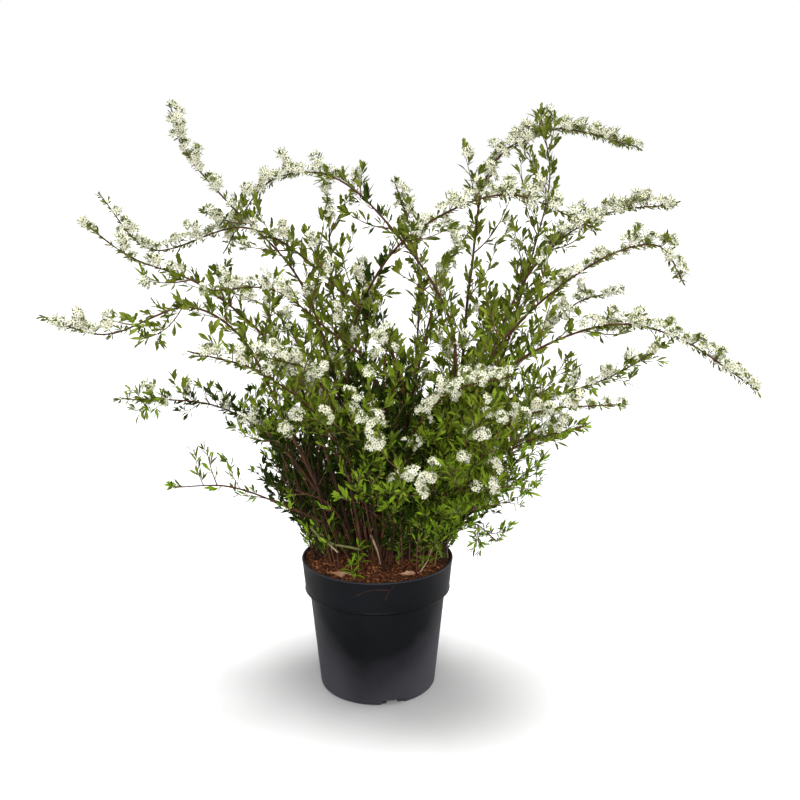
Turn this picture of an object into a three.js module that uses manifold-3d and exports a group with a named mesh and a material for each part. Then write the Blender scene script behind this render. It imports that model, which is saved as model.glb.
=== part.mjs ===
// A white-flowered spirea shrub in a round black nursery pot, in millimetres, +Z up.
// The origin is the middle of the pot's flat underside, which stands on the ground.
// +X is the shrub's right-hand side and +Y its back.
//
// Woody stems rise from one crown in the soil. Each is a bare bough that carries a long arching
// spray of twigs, narrow leaves and flower heads, and low leafy shoots fill in between them.
// Every bough and every spray is a mesh of its own.
import * as THREE from "three";
import { mergeVertices } from "three/addons/utils/BufferGeometryUtils.js";
import Module from "manifold-3d";

const wasm = await Module();
wasm.setup();

// Driving sizes of the pot.
const pot = {
  height: 250,
  rimRadius: 140,
  collarRadius: 134, // at the collar's lower edge
  collarHeight: 60,
  collarStep: 6, // height of the slope from the collar in to the body
  bodyRadius: 126, // just under the collar
  baseRadius: 108,
  baseCorner: 7,
  wall: 2.4,
  floor: 3,
  around: 30, // facets
};

// Each drain is a notch through the foot of the wall, with a slot in its middle that runs on
// inwards through the floor.
const drain = {
  count: 3,
  firstAngle: 286.3,
  height: 10,
  notchWidth: 46,
  notchDepth: 20, // across the wall, half of it outside
  slotWidth: 22,
  slotDepth: 52,
};

// The soil fills the pot and is flat where the stems stand on it.
const soil = { top: 244, crownRadius: 78, edgeTop: 238, gap: 0.3, drainMargin: 2 };

// Driving sizes of the wood, leaves and flower heads. `sizes` is the range they vary in.
const wood = {
  footRadius: 4.6, // of the longest shoots, at the soil
  slimmest: 0.35, // share of that for a very short shoot
  fullLength: 850, // shoots at least this long have it all
  tipRadius: 1.5,
  taper: 0.8,
  footFlare: 0.45,
  flareShare: 0.12,
  joint: 0.3, // gap between a bough and its spray, and over the soil
  buried: 6,
  boughStep: 65,
  boughSides: 5,
};
const stem = { step: 75, sides: 3, slimming: 0.98, bareAfterBough: 20, bareAfterSoil: 80 };
const twig = { longest: 105, shortest: 34, perStem: 0.4, footRadius: 1.3, tipRadius: 1, sink: 0.4, sides: 3 };
const leaf = { length: 60, width: 22, thickness: 2.2, waist: 0.55, sink: 0.5, sizes: [0.8, 1.15] };
const flowerHead = { radius: 17, height: 11, sink: 0.4, tilt: 0.9, sizes: [0.8, 1.15] };

// The rule by which a spray grows. A twig, leaf or flower head leaves its stem in a mixture of
// three ways: straight out, along the stem and upwards.
const rule = {
  turn: 137.5, // degrees round the stem from one twig to the next
  nodeGap: 40, // mm along the leafy part of a stem, for a twig and a leaf by turns
  headGap: 33, // mm along the flowering part
  leafGap: 44, // mm along a twig
  tipLeaves: 3, // at the tip of a shoot without flowers
  smallLeaf: 0.62, // size of the leaves there and among the flower heads
  tipInset: 0.002, // share of the stem
  twigWay: { out: 1, along: 0.6, up: 0.45 },
  leafWay: { out: 0.75, along: 0.7, up: 0.25 },
  headWay: { out: 1, along: 0.2, up: 1.1 },
  twigSizes: [0.7, 1.15],
  leafTwist: [-0.4, 0.4],
  sway: 12, // sideways wander of a stem between its waypoints
};
const search = { attempts: 300, swayGrowth: 100, outGrowth: 6, asideGrowth: 2 };
const seeds = { first: 101, perShoot: 17, perAttempt: 7919, perTwig: 977, leaves: 5 };
const foothold = { nearest: 8, perLean: 44, scatter: 14, aside: 16, inset: 10 };
const clearance = 0.8; // between the pieces of two different meshes
const sliver = 0.1; // what is finer than this is smoothed away where pieces join

// A shoot climbs from the crown through its waypoints, [out from the axis, height], in the upright
// plane of its heading (degrees from +X towards +Y). `bare` is the length of its bough, 0 for a
// low shoot without one, and `bloom` the share of its whole length after which it flowers.
function shoot(name, heading, bare, bloom, ...way) {
  return { name, heading, bare, bloom, way };
}

const shoots = [
  shoot("north_west_wisp", 158, 260, 0.6, [64, 502], [150, 755], [308, 902], [372, 975], [412, 1070]),
  shoot("west_crown_arch", 150, 250, 0.6, [-150, 660], [-20, 868], [115, 943], [245, 923], [338, 795]),
  shoot("west_high", 160, 240, 0.5, [-45, 600], [100, 772], [256, 847], [461, 804], [578, 908]),
  shoot("west_mid", 190, 200, 0.58, [154, 605], [300, 755], [418, 806], [493, 866]),
  shoot("west_long", 200, 170, 0.6, [161, 502], [248, 678], [326, 725], [465, 686], [563, 724]),
  shoot("west_bloom", 218, 190, 0.58, [12, 590], [107, 688], [212, 757], [331, 764]),
  shoot("west_shelf", 176, 110, 0.5, [89, 328], [198, 470], [298, 531], [466, 542]),
  shoot("crown_left", 120, 190, 0.9, [110, 420], [150, 680], [205, 925]),
  shoot("crown_mid", 70, 180, 0.86, [123, 380], [240, 600], [205, 790], [112, 925]),
  shoot("north_east_high", 30, 250, 0.54, [166, 490], [194, 750], [250, 955], [370, 1024], [604, 997]),
  shoot("east_spire", 20, 230, 1, [185, 454], [300, 788], [343, 940], [320, 1040]),
  shoot("east_bow", 318, 220, 0.58, [-61, 630], [25, 793], [123, 864], [270, 910], [442, 865]),
  shoot("east_high", 15, 220, 0.6, [159, 479], [299, 780], [425, 868], [582, 888]),
  shoot("east_arch", 338, 200, 0.6, [122, 408], [228, 658], [403, 812], [485, 831], [527, 770]),
  shoot("east_long", 349, 150, 0.56, [98, 385], [221, 600], [400, 691], [509, 676], [655, 587]),
  shoot("east_mid", 30, 160, 0.62, [158, 430], [365, 645], [470, 696], [552, 713]),
  shoot("east_low", 2, 120, 0.55, [116, 351], [263, 520], [424, 586], [520, 643]),
  shoot("east_twig", 326, 120, 0.6, [136, 399], [252, 524], [325, 564], [460, 592]),
  shoot("front_left", 240, 150, 0.55, [70, 430], [180, 613], [338, 677]),
  shoot("front_right", 301, 150, 0.5, [60, 420], [200, 583], [386, 651]),
  shoot("front_mid", 271, 0, 0.68, [60, 400], [160, 530], [286, 549]),
  shoot("front_high", 279, 0, 0.8, [45, 480], [90, 620], [150, 698]),
  shoot("back_right", 62, 170, 0.6, [110, 480], [240, 740], [440, 840]),
  shoot("back_mid", 95, 160, 0.58, [110, 460], [260, 690], [460, 760]),
  shoot("back_left", 134, 150, 0.58, [120, 440], [280, 660], [490, 715]),
  shoot("west_twig", 228, 0, 0.7, [118, 493], [281, 635], [412, 685]),
  shoot("west_skirt", 205, 0, 1, [75, 300], [200, 382], [280, 417], [374, 430]),
  shoot("east_skirt", 330, 0, 0.8, [105, 315], [263, 487], [396, 545]),
  shoot("east_droop", 350, 0, 1, [95, 278], [175, 325], [222, 288]),
  shoot("apron_west", 236, 0, 1, [80, 310], [150, 390], [220, 430]),
  shoot("apron_mid", 262, 0, 1, [60, 320], [110, 390], [180, 430]),
  shoot("apron_east", 289, 0, 0.7, [70, 330], [150, 430], [240, 471]),
  shoot("apron_right", 315, 0, 1, [80, 320], [180, 410], [282, 450]),
  shoot("back_low_right", 48, 0, 0.8, [90, 340], [230, 460], [400, 520]),
  shoot("back_low_left", 110, 0, 0.8, [90, 340], [230, 470], [410, 530]),
];

const colours = {
  pot: new THREE.MeshStandardMaterial({ name: "pot", color: 0x24262a, roughness: 0.45, metalness: 0 }),
  soil: new THREE.MeshStandardMaterial({ name: "soil", color: 0x4b2a18, roughness: 1, metalness: 0 }),
  bark: new THREE.MeshStandardMaterial({ name: "bark", color: 0x54342a, roughness: 0.8, metalness: 0 }),
  foliage: new THREE.MeshStandardMaterial({ name: "foliage", color: 0x6f9a34, roughness: 0.6, metalness: 0 }),
};

const up = new THREE.Vector3(0, 0, 1);
const { degToRad: radians, lerp, clamp } = THREE.MathUtils;

// A seeded stream of numbers from 0 to 1, so that every run grows the same shrub.
function randomFrom(seed) {
  let state = seed >>> 0;
  return () => {
    state = (state + 0x6d2b79f5) >>> 0;
    let mixed = Math.imul(state ^ (state >>> 15), state | 1);
    mixed = (mixed + Math.imul(mixed ^ (mixed >>> 7), mixed | 61)) ^ mixed;
    return ((mixed ^ (mixed >>> 14)) >>> 0) / 2 ** 32;
  };
}

function within([low, high], random) {
  return lerp(low, high, random());
}

// A closed geometry as a manifold-3d solid, without the triangles that a pointed end collapses.
function solidFrom(geometry) {
  const bare = geometry.clone();
  bare.deleteAttribute("normal");
  bare.deleteAttribute("uv");
  const merged = mergeVertices(bare, 1e-3);
  const corners = merged.index.array;
  const kept = [];
  for (let i = 0; i < corners.length; i += 3) {
    const [a, b, c] = corners.subarray(i, i + 3);
    if (a !== b && b !== c && a !== c) kept.push(a, b, c);
  }
  const mesh = new wasm.Mesh({
    numProp: 3,
    vertProperties: new Float32Array(merged.attributes.position.array),
    triVerts: new Uint32Array(kept),
  });
  mesh.merge();
  return new wasm.Manifold(mesh);
}

function geometryFrom(solid) {
  const mesh = solid.getMesh();
  const geometry = new THREE.BufferGeometry();
  geometry.setAttribute("position", new THREE.BufferAttribute(new Float32Array(mesh.vertProperties), 3));
  geometry.setIndex(new THREE.BufferAttribute(new Uint32Array(mesh.triVerts), 1));
  geometry.computeVertexNormals();
  return geometry;
}

function largest(solid) {
  return solid.decompose().reduce((best, body) => (body.volume() > best.volume() ? body : best));
}

// The largest body of a union, without the finest slivers where roots cross a stem's edges.
// Scraps that touch nothing or hang on by a point, and sealed hollows, are left out.
function fused(solids) {
  const whole = largest(cutAtSoil(wasm.Manifold.union(solids)).asOriginal().simplify(sliver));
  return largest(solidFrom(geometryFrom(whole)));
}

function namedMesh(name, geometry, material) {
  const mesh = new THREE.Mesh(geometry, material);
  mesh.name = name;
  return mesh;
}

// A profile of [radius, height] points turned about the pot's axis.
function turned(profile) {
  const points = profile.map(([radius, height]) => new THREE.Vector2(radius, height));
  return new THREE.LatheGeometry(points, pot.around).rotateX(Math.PI / 2);
}

function makePot() {
  const { height, wall, baseRadius, baseCorner, bodyRadius, collarRadius, rimRadius } = pot;
  const collarFoot = height - pot.collarHeight;
  const shell = solidFrom(
    turned([
      [0, 0],
      [baseRadius - baseCorner, 0],
      [baseRadius, baseCorner],
      [bodyRadius, collarFoot - pot.collarStep],
      [collarRadius, collarFoot],
      [rimRadius, height],
      [rimRadius - 2 * wall, height],
      [collarRadius - wall, collarFoot + pot.collarStep],
      [bodyRadius - wall, collarFoot - pot.collarStep],
      [baseRadius - wall, baseCorner + pot.floor],
      [baseRadius - wall - baseCorner, pot.floor],
      [0, pot.floor],
    ]),
  );
  const cutters = [];
  for (let i = 0; i < drain.count; i++) {
    const angle = radians(drain.firstAngle + (i * 360) / drain.count);
    const notch = new THREE.BoxGeometry(drain.notchDepth, drain.notchWidth, 2 * drain.height);
    const slot = new THREE.BoxGeometry(drain.slotDepth, drain.slotWidth, 2 * drain.height);
    for (const cutter of [notch, slot]) {
      cutters.push(solidFrom(cutter.translate(baseRadius, 0, 0).rotateZ(angle)));
    }
  }
  return namedMesh("pot", geometryFrom(shell.subtract(wasm.Manifold.union(cutters))), colours.pot);
}

function makeSoil() {
  const { wall, baseRadius, bodyRadius, collarRadius } = pot;
  const inside = wall + soil.gap;
  const collarFoot = pot.height - pot.collarHeight;
  const insideDrains = baseRadius - drain.slotDepth / 2 - soil.drainMargin;
  const overDrains = drain.height + soil.drainMargin;
  const rimShare = (soil.edgeTop - collarFoot) / pot.collarHeight;
  const edgeRadius = lerp(collarRadius - wall, pot.rimRadius - 2 * wall, rimShare) - 2 * soil.gap;
  const body = turned([
    [0, pot.floor + soil.gap],
    [insideDrains, pot.floor + soil.gap],
    [insideDrains, overDrains],
    [baseRadius - inside, overDrains + 1],
    [bodyRadius - inside, collarFoot - pot.collarStep],
    [collarRadius - inside - soil.gap, collarFoot + pot.collarStep],
    [edgeRadius, soil.edgeTop],
    [soil.crownRadius, soil.top],
    [0, soil.top],
  ]);
  return namedMesh("soil", body, colours.soil);
}

// The shoot's own frame has x outwards along its heading, y to the side and z up from the ground.
// Steep shoots stand in the middle of the crown and low ones at its edge. A later attempt stands
// elsewhere and wanders a little further, to pass the stems that are there already.
function shootCurve({ way }, seed, attempt) {
  const random = randomFrom(seed + attempt * seeds.perAttempt);
  const sway = rule.sway * (1 + attempt / search.swayGrowth);
  const [firstOut, firstHeight] = way[0];
  const lean = Math.min(1, Math.abs(firstOut) / (firstHeight - soil.top));
  const scatter = random() * (foothold.scatter + attempt / search.outGrowth);
  const out = foothold.nearest + foothold.perLean * lean + scatter;
  const aside = (random() - 0.5) * (foothold.aside + attempt / search.asideGrowth);
  const foot = new THREE.Vector2(Math.sign(firstOut) * out, aside);
  foot.clampLength(0, soil.crownRadius - foothold.inset);
  const spots = [new THREE.Vector3(foot.x, foot.y, soil.top - wood.buried)];
  for (const [far, height] of way) {
    spots.push(new THREE.Vector3(far, within([-sway, sway], random), height));
  }
  const curve = new THREE.CatmullRomCurve3(spots, false, "centripetal");
  curve.arcLengthDivisions = 400;
  return curve;
}

// The stretch of a curve between two shares of its length, as evenly spaced spots, each with
// the way the curve runs there.
function spineOf(curve, from, to, spacing) {
  const segments = Math.round(((to - from) * curve.getLength()) / spacing) + 1;
  const shares = Array.from({ length: segments + 1 }, (_, i) => Math.min(lerp(from, to, i / segments), 1));
  const spots = shares.map((share) => curve.getPointAt(share));
  const ways = shares.map((share) => curve.getTangentAt(share));
  return { spots, ways, segments };
}

function spotOn(spine, share) {
  const place = clamp(share, 0, 1) * spine.segments;
  const below = Math.min(Math.floor(place), spine.segments - 1);
  return spine.spots[below].clone().lerp(spine.spots[below + 1], place - below);
}

function wayOn(spine, share) {
  const below = Math.min(Math.floor(clamp(share, 0, 1) * spine.segments), spine.segments - 1);
  return spine.spots[below + 1].clone().sub(spine.spots[below]).normalize();
}

// A limb along a spine.
function limbGeometry(spine, radiusAt, sides) {
  const { spots, ways, segments } = spine;
  const limb = new THREE.CylinderGeometry(1, 1, 1, sides, segments);
  const chord = spots.at(-1).clone().sub(spots[0]).normalize();
  const side = Math.abs(chord.y) < 0.7 ? new THREE.Vector3(0, 1, 0) : new THREE.Vector3(1, 0, 0);
  const place = limb.attributes.position;
  for (let i = 0; i < place.count; i++) {
    const ring = Math.round((place.getY(i) + 0.5) * segments);
    const across = side.clone().cross(ways[ring]).normalize();
    const other = across.clone().cross(ways[ring]);
    const radius = radiusAt(ring / segments);
    const spot = spots[ring].clone();
    spot.addScaledVector(across, place.getX(i) * radius).addScaledVector(other, place.getZ(i) * radius);
    place.setXYZ(i, spot.x, spot.y, spot.z);
  }
  return limb;
}

// A shoot's thickness at a share of its whole length.
function woodRadius(length, share) {
  const foot = wood.footRadius * Math.min(1, lerp(wood.slimmest, 1, length / wood.fullLength));
  const flare = 1 + wood.footFlare * Math.max(0, 1 - share / wood.flareShare) ** 2;
  return lerp(foot, wood.tipRadius, share ** wood.taper) * flare;
}

// A leaf is a flat four-faced lozenge, widest past its middle, with its root sunk into the twig.
// The tetrahedron's first two corners are its root and tip, the others its edges.
function leafGeometry(root, direction, face, length) {
  const blade = new THREE.TetrahedronGeometry(Math.sqrt(3));
  const side = face.clone().cross(direction).normalize();
  const top = direction.clone().cross(side);
  const place = blade.attributes.position;
  const share = length / leaf.length;
  for (let i = 0; i < place.count; i++) {
    const [x, y] = [Math.sign(place.getX(i)), Math.sign(place.getY(i))];
    const onKeel = x === y;
    const along = onKeel ? (x + 1) / 2 : leaf.waist;
    const aside = onKeel ? 0 : x;
    const spot = root.clone().addScaledVector(direction, along * (length + leaf.sink) - leaf.sink);
    spot.addScaledVector(side, (aside * leaf.width * share) / 2);
    spot.addScaledVector(top, onKeel ? 0 : leaf.thickness);
    place.setXYZ(i, spot.x, spot.y, spot.z);
  }
  return blade;
}

// A flower head is a low eight-faced lens with its lowest corner sunk into the stem.
function flowerHeadGeometry(root, direction, size) {
  const { radius, height, sink } = flowerHead;
  const head = new THREE.OctahedronGeometry(1).scale(radius * size, radius * size, height * size);
  head.translate(0, 0, height * size - sink);
  head.applyQuaternion(new THREE.Quaternion().setFromUnitVectors(up, direction));
  return head.translate(root.x, root.y, root.z);
}

// Shortest distance between the segments a-b and c-d.
function segmentDistance(a, b, c, d) {
  const ab = b.clone().sub(a);
  const cd = d.clone().sub(c);
  const ca = a.clone().sub(c);
  const [p, q, r] = [ab.dot(ab), ab.dot(cd), cd.dot(cd)];
  const [e, f] = [ab.dot(ca), cd.dot(ca)];
  const area = p * r - q * q;
  let s = area > 1e-9 ? clamp((q * f - r * e) / area, 0, 1) : 0;
  const t = r > 1e-9 ? clamp((q * s + f) / r, 0, 1) : 0;
  s = p > 1e-9 ? clamp((q * t - e) / p, 0, 1) : 0;
  return a.clone().addScaledVector(ab, s).distanceTo(c.clone().addScaledVector(cd, t));
}

// What has been placed so far, as rounded sticks, so that no mesh grows into another.
const placed = [];

function isClear(stick, owner) {
  return placed.every(
    (other) =>
      other.owner === owner ||
      segmentDistance(stick.a, stick.b, other.a, other.b) > stick.radius + other.radius + clearance,
  );
}

// Whether a stick stays above the soil and the pot's rim, or outside the rim.
function isOverRim(stick) {
  const inner = Math.min(Math.hypot(stick.a.x, stick.a.y), Math.hypot(stick.b.x, stick.b.y));
  const low = Math.min(stick.a.z, stick.b.z) - stick.radius;
  return inner > pot.rimRadius + stick.radius + clearance || low > pot.height + clearance;
}

function keep(stick, owner) {
  placed.push({ ...stick, owner });
}

// A spine's segments as sticks in the shrub's frame.
function spineSticks(spine, radiusAt, frame) {
  const spots = spine.spots.map((spot) => spot.clone().applyMatrix4(frame));
  return spots.slice(1).map((spot, i) => ({ a: spots[i], b: spot, radius: radiusAt(i / spine.segments) }));
}

// A direction square to `along`, turned round it by an angle.
function squareTo(along, angle) {
  const start = Math.abs(along.z) < 0.9 ? up.clone() : new THREE.Vector3(1, 0, 0);
  return start.cross(along).normalize().applyAxisAngle(along, angle);
}

function wayFrom(along, angle, mixture) {
  const direction = squareTo(along, angle).multiplyScalar(mixture.out);
  return direction.addScaledVector(along, mixture.along).addScaledVector(up, mixture.up).normalize();
}

// Adds a piece to a spray when it is clear of every other mesh, and says whether it did.
function tryPiece(spray, geometry, stick) {
  const [a, b] = [stick.a.clone().applyMatrix4(spray.frame), stick.b.clone().applyMatrix4(spray.frame)];
  const world = { a, b, radius: stick.radius };
  if (!isOverRim(world) || !isClear(world, spray.name)) return false;
  keep(world, spray.name);
  spray.solids.push(solidFrom(geometry));
  return true;
}

function growLeaf(spray, root, along, angle, size, random) {
  const length = leaf.length * size * within(leaf.sizes, random);
  const radius = (leaf.width / 2) * (length / leaf.length);
  const direction = wayFrom(along, angle, rule.leafWay);
  const face = squareTo(direction, within(rule.leafTwist, random));
  const a = root.clone().addScaledVector(direction, radius / 2);
  const b = root.clone().addScaledVector(direction, length - radius / 2);
  tryPiece(spray, leafGeometry(root, direction, face, length), { a, b, radius });
}

function growHead(spray, root, along, angle, random) {
  const size = within(flowerHead.sizes, random);
  const direction = wayFrom(along, angle, rule.headWay);
  const middle = root.clone().addScaledVector(direction, flowerHead.height * size);
  const stick = { a: middle, b: middle, radius: flowerHead.radius * size };
  tryPiece(spray, flowerHeadGeometry(root, direction, size), stick);
}

// A straight twig with its leaves. The more of the stem is left above it, the longer it is.
function growTwig(spray, at, index) {
  const random = randomFrom(spray.seed * seeds.perTwig + index);
  const root = spotOn(spray.spine, at);
  const direction = wayFrom(wayOn(spray.spine, at), radians(rule.turn * index), rule.twigWay);
  const left = (1 - at) * spray.length;
  const length = Math.min(twig.longest, twig.shortest + left * twig.perStem) * within(rule.twigSizes, random);
  const spots = [-twig.sink, length].map((out) => root.clone().addScaledVector(direction, out));
  const spine = { spots, ways: [direction, direction], segments: 1 };
  const radiusAt = (share) => lerp(twig.footRadius, twig.tipRadius, share);
  const stick = { a: spotOn(spine, 0.1), b: spots[1], radius: twig.footRadius };
  if (!tryPiece(spray, limbGeometry(spine, radiusAt, twig.sides), stick)) return;
  const leaves = Math.round(length / rule.leafGap) + 1;
  for (let i = 1; i <= leaves; i++) {
    const spot = spotOn(spine, i / leaves - 2 * rule.tipInset);
    growLeaf(spray, spot, direction, radians(rule.turn * (i + index)), 1, random);
  }
}

// Everything about a shoot that its bough, its spray and its neighbours need.
function planShoot(shoot, number) {
  const seed = seeds.first + number * seeds.perShoot;
  const group = new THREE.Group();
  group.rotation.z = radians(shoot.heading);
  group.updateMatrixWorld();
  let plan;
  for (let attempt = 0; attempt < search.attempts; attempt++) {
    plan = { ...shoot, seed, group, ...limbsOf(shoot, seed, attempt, group.matrixWorld) };
    if (plan.sticks.every((stick) => isClear(stick, shoot.name))) break;
  }
  plan.sticks.forEach((stick) => keep(stick, shoot.name));
  return plan;
}

// The bough and the stem of a shoot's spray, which starts just past the bough's tip.
function limbsOf(shoot, seed, attempt, frame) {
  const curve = shootCurve(shoot, seed, attempt);
  const length = curve.getLength();
  const bare = shoot.bare / length;
  const start = shoot.bare ? (shoot.bare + wood.joint) / length : 0;
  const stemSpine = spineOf(curve, start, 1, stem.step);
  const stemRadius = (share) => woodRadius(length, lerp(start, 1, share)) * stem.slimming;
  const sticks = spineSticks(stemSpine, stemRadius, frame);
  const limbs = { length, start, stemSpine, stemRadius, sticks };
  if (!shoot.bare) return limbs;
  limbs.boughSpine = spineOf(curve, 0, bare, wood.boughStep);
  limbs.boughRadius = (share) => woodRadius(length, bare * share);
  sticks.push(...spineSticks(limbs.boughSpine, limbs.boughRadius, frame));
  return limbs;
}

function cutAtSoil(solid) {
  return solid.trimByPlane([0, 0, 1], soil.top + wood.joint);
}

function makeBough({ name, boughSpine, boughRadius }) {
  const limb = cutAtSoil(solidFrom(limbGeometry(boughSpine, boughRadius, wood.boughSides)));
  return namedMesh(name + "_bough", geometryFrom(limb), colours.bark);
}

// The stem carries twigs and leaves by turns up to where it blooms, then flower heads.
function makeSpray(plan) {
  const { name, seed, group, start } = plan;
  const spine = plan.stemSpine;
  const length = (1 - start) * plan.length;
  const solids = [solidFrom(limbGeometry(spine, plan.stemRadius, stem.sides))];
  const spray = { name, seed, frame: group.matrixWorld, spine, length, solids };
  const random = randomFrom(seed + seeds.leaves);
  const bloom = (plan.bloom - start) / (1 - start);
  const lowest = (plan.bare ? stem.bareAfterBough : stem.bareAfterSoil) / length;
  const nodes = Math.floor(((bloom - lowest) * length) / rule.nodeGap);
  for (let i = 0; i <= nodes; i++) {
    const at = lowest + (i * rule.nodeGap) / length;
    if (i % 2) growLeaf(spray, spotOn(spine, at), wayOn(spine, at), radians(rule.turn * i), 1, random);
    else growTwig(spray, at, i);
  }
  const tip = 1 - rule.tipInset;
  for (let i = 0; bloom === 1 && i < rule.tipLeaves; i++) {
    growLeaf(spray, spotOn(spine, tip), wayOn(spine, tip), radians(rule.turn * i), rule.smallLeaf, random);
  }
  const heads = Math.round(((1 - bloom) * length) / rule.headGap);
  for (let i = 1; i <= heads; i++) {
    const at = lerp(bloom, 1, i / heads) - rule.tipInset;
    const [spot, along] = [spotOn(spine, at), wayOn(spine, at)];
    growHead(spray, spot, along, i % 2 ? flowerHead.tilt : -flowerHead.tilt, random);
    const besideHead = i % 2 === 1 && i < heads;
    if (besideHead) growLeaf(spray, spot, along, radians(rule.turn * i), rule.smallLeaf, random);
  }
  return namedMesh(name + "_spray", geometryFrom(fused(solids)), colours.foliage);
}

const shrub = new THREE.Group();
shrub.add(makePot(), makeSoil());
// Every bough and stem has its place before the first leaf grows.
for (const plan of shoots.map(planShoot)) {
  plan.group.add(makeSpray(plan));
  if (plan.bare) plan.group.add(makeBough(plan));
  shrub.add(plan.group);
}

export default shrub;
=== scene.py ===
import math
import random

import bmesh
import bpy
import numpy as np
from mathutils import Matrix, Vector, noise


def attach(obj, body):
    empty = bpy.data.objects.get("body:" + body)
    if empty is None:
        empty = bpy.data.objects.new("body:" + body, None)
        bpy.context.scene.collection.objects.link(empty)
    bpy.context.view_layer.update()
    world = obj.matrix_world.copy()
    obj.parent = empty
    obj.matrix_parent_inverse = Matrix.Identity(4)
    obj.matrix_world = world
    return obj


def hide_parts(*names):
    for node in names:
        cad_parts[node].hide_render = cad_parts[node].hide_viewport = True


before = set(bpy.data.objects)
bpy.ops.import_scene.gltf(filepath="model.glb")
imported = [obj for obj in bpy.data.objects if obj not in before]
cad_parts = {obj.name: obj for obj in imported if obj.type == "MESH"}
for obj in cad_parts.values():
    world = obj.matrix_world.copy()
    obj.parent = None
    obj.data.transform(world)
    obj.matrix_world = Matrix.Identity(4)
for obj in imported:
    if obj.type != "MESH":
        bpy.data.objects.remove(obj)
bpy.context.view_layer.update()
boughNodes = [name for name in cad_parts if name.endswith("_bough")]
sprayNodes = [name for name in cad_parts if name.endswith("_spray")]
print("frame loaded:", len(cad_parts), "nodes")

# Everything grows in millimetres and turns to metres when a mesh is made.
mm = 0.001
up = np.array([0.0, 0.0, 1.0])
anyTurn = (0, 6.28)  # radians, for a turn left to chance


def mix(a, b, share):
    return a + (b - a) * share


def unit(way):
    return way / np.linalg.norm(way)


def linked(name, data):
    piece = bpy.data.objects.new(name, data)
    bpy.context.scene.collection.objects.link(piece)
    return piece


class Nodes:
    # a node tree under construction, where an input takes a number, a socket or a node
    def __init__(self, tree):
        self.tree = tree

    def add(self, kind, settings=None, **inputs):
        node = self.tree.nodes.new(kind)
        for label, value in (settings or {}).items():
            setattr(node, label, value)
        for label, value in inputs.items():
            label = label.replace("_", " ")
            self.put(next(s for s in node.inputs if s.name == label and s.enabled), value)
        return node

    def put(self, socket, value):
        if isinstance(value, bpy.types.Node):
            value = next(s for s in value.outputs if s.enabled)
        if isinstance(value, bpy.types.NodeSocket):
            self.tree.links.new(value, socket)
        else:
            socket.default_value = value

    def math(self, operation, *values, kind="ShaderNodeMath"):
        node = self.add(kind, {"operation": operation})
        for socket, value in zip([s for s in node.inputs if s.enabled], values):
            self.put(socket, value)
        return node.outputs[0]


def newFinish(name, roughness, specular=0.5):
    finish = bpy.data.materials.new(name)
    finish.use_nodes = True
    shader = finish.node_tree.nodes["Principled BSDF"]
    shader.inputs["Roughness"].default_value = roughness
    shader.inputs["Specular IOR Level"].default_value = specular
    return finish, Nodes(finish.node_tree), shader


view = {"spot": (0.042, -1.8, 0.932), "pitch": 12.15, "lens": 45.96, "sensor": 36, "clipEnd": 60}
studio = {
    "white": (1, 1, 1, 1),
    "horizon": 0.42,  # the light from close to the horizon
    "zenith": 0.36,  # and from high up
    "fade": (0.18, 0.5),  # heights between which one turns into the other
    "floorSize": 400,
    "floorRoughness": 0.9,
    "floorColour": (0.8, 0.8, 0.8, 1),
    "floorBounce": (0.34, 0.34, 0.34, 1),  # what the floor throws back at the plant
}
# The lamps: kind, power, place, aim, and the size of an area or the softness of a sun in degrees.
lamps = {
    "key": ("SUN", 4.5, (0.2, 0.32, 4.0), (0, 0, 0.5), 34),
    "fill": ("AREA", 80, (0.0, -3.4, 1.5), (0, 0, 0.5), 1.5),
    "left": ("AREA", 9, (-2.2, 0.5, 0.35), (0, 0, 0.1), 1.0),
    "right": ("AREA", 16, (2.2, 0.5, 0.35), (0, 0, 0.1), 1.0),
}


def makeCamera():
    data = bpy.data.cameras.new("camera")
    data.lens = view["lens"]
    data.sensor_width = view["sensor"]
    data.clip_end = view["clipEnd"]
    camera = linked("camera", data)
    camera.location = view["spot"]
    camera.rotation_euler = (math.radians(90 - view["pitch"]), 0, 0)
    bpy.context.scene.camera = camera


def makeLamp(name, kind, power, spot, aim, spread):
    data = bpy.data.lights.new(name, kind)
    data.energy = power
    if kind == "SUN":
        data.angle = math.radians(spread)
    else:
        data.size = spread
    lamp = linked(name, data)
    lamp.location = spot
    lamp.rotation_mode = "QUATERNION"
    lamp.rotation_quaternion = (Vector(aim) - Vector(spot)).to_track_quat("-Z", "Y")


def makeSky():
    # soft light all round, in front of a white backdrop
    bpy.context.scene.view_settings.view_transform = "Standard"
    world = bpy.data.worlds.new("studio")
    bpy.context.scene.world = world
    world.use_nodes = True
    world.node_tree.nodes.clear()
    nodes = Nodes(world.node_tree)
    place = nodes.add("ShaderNodeTexCoord")
    height = nodes.add("ShaderNodeSeparateXYZ", Vector=place.outputs["Generated"])
    low, high = studio["fade"]
    strength = nodes.add(
        "ShaderNodeMapRange", Value=height.outputs["Z"], From_Min=low, From_Max=high,
        To_Min=studio["horizon"], To_Max=studio["zenith"],
    )
    seen = nodes.add("ShaderNodeLightPath")
    either = nodes.add("ShaderNodeMixShader", Fac=seen.outputs["Is Camera Ray"])
    glow = nodes.add("ShaderNodeBackground", Color=studio["white"], Strength=strength)
    nodes.put(either.inputs[1], glow)
    nodes.put(either.inputs[2], nodes.add("ShaderNodeBackground", Color=studio["white"]))
    nodes.add("ShaderNodeOutputWorld", Surface=either)


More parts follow.
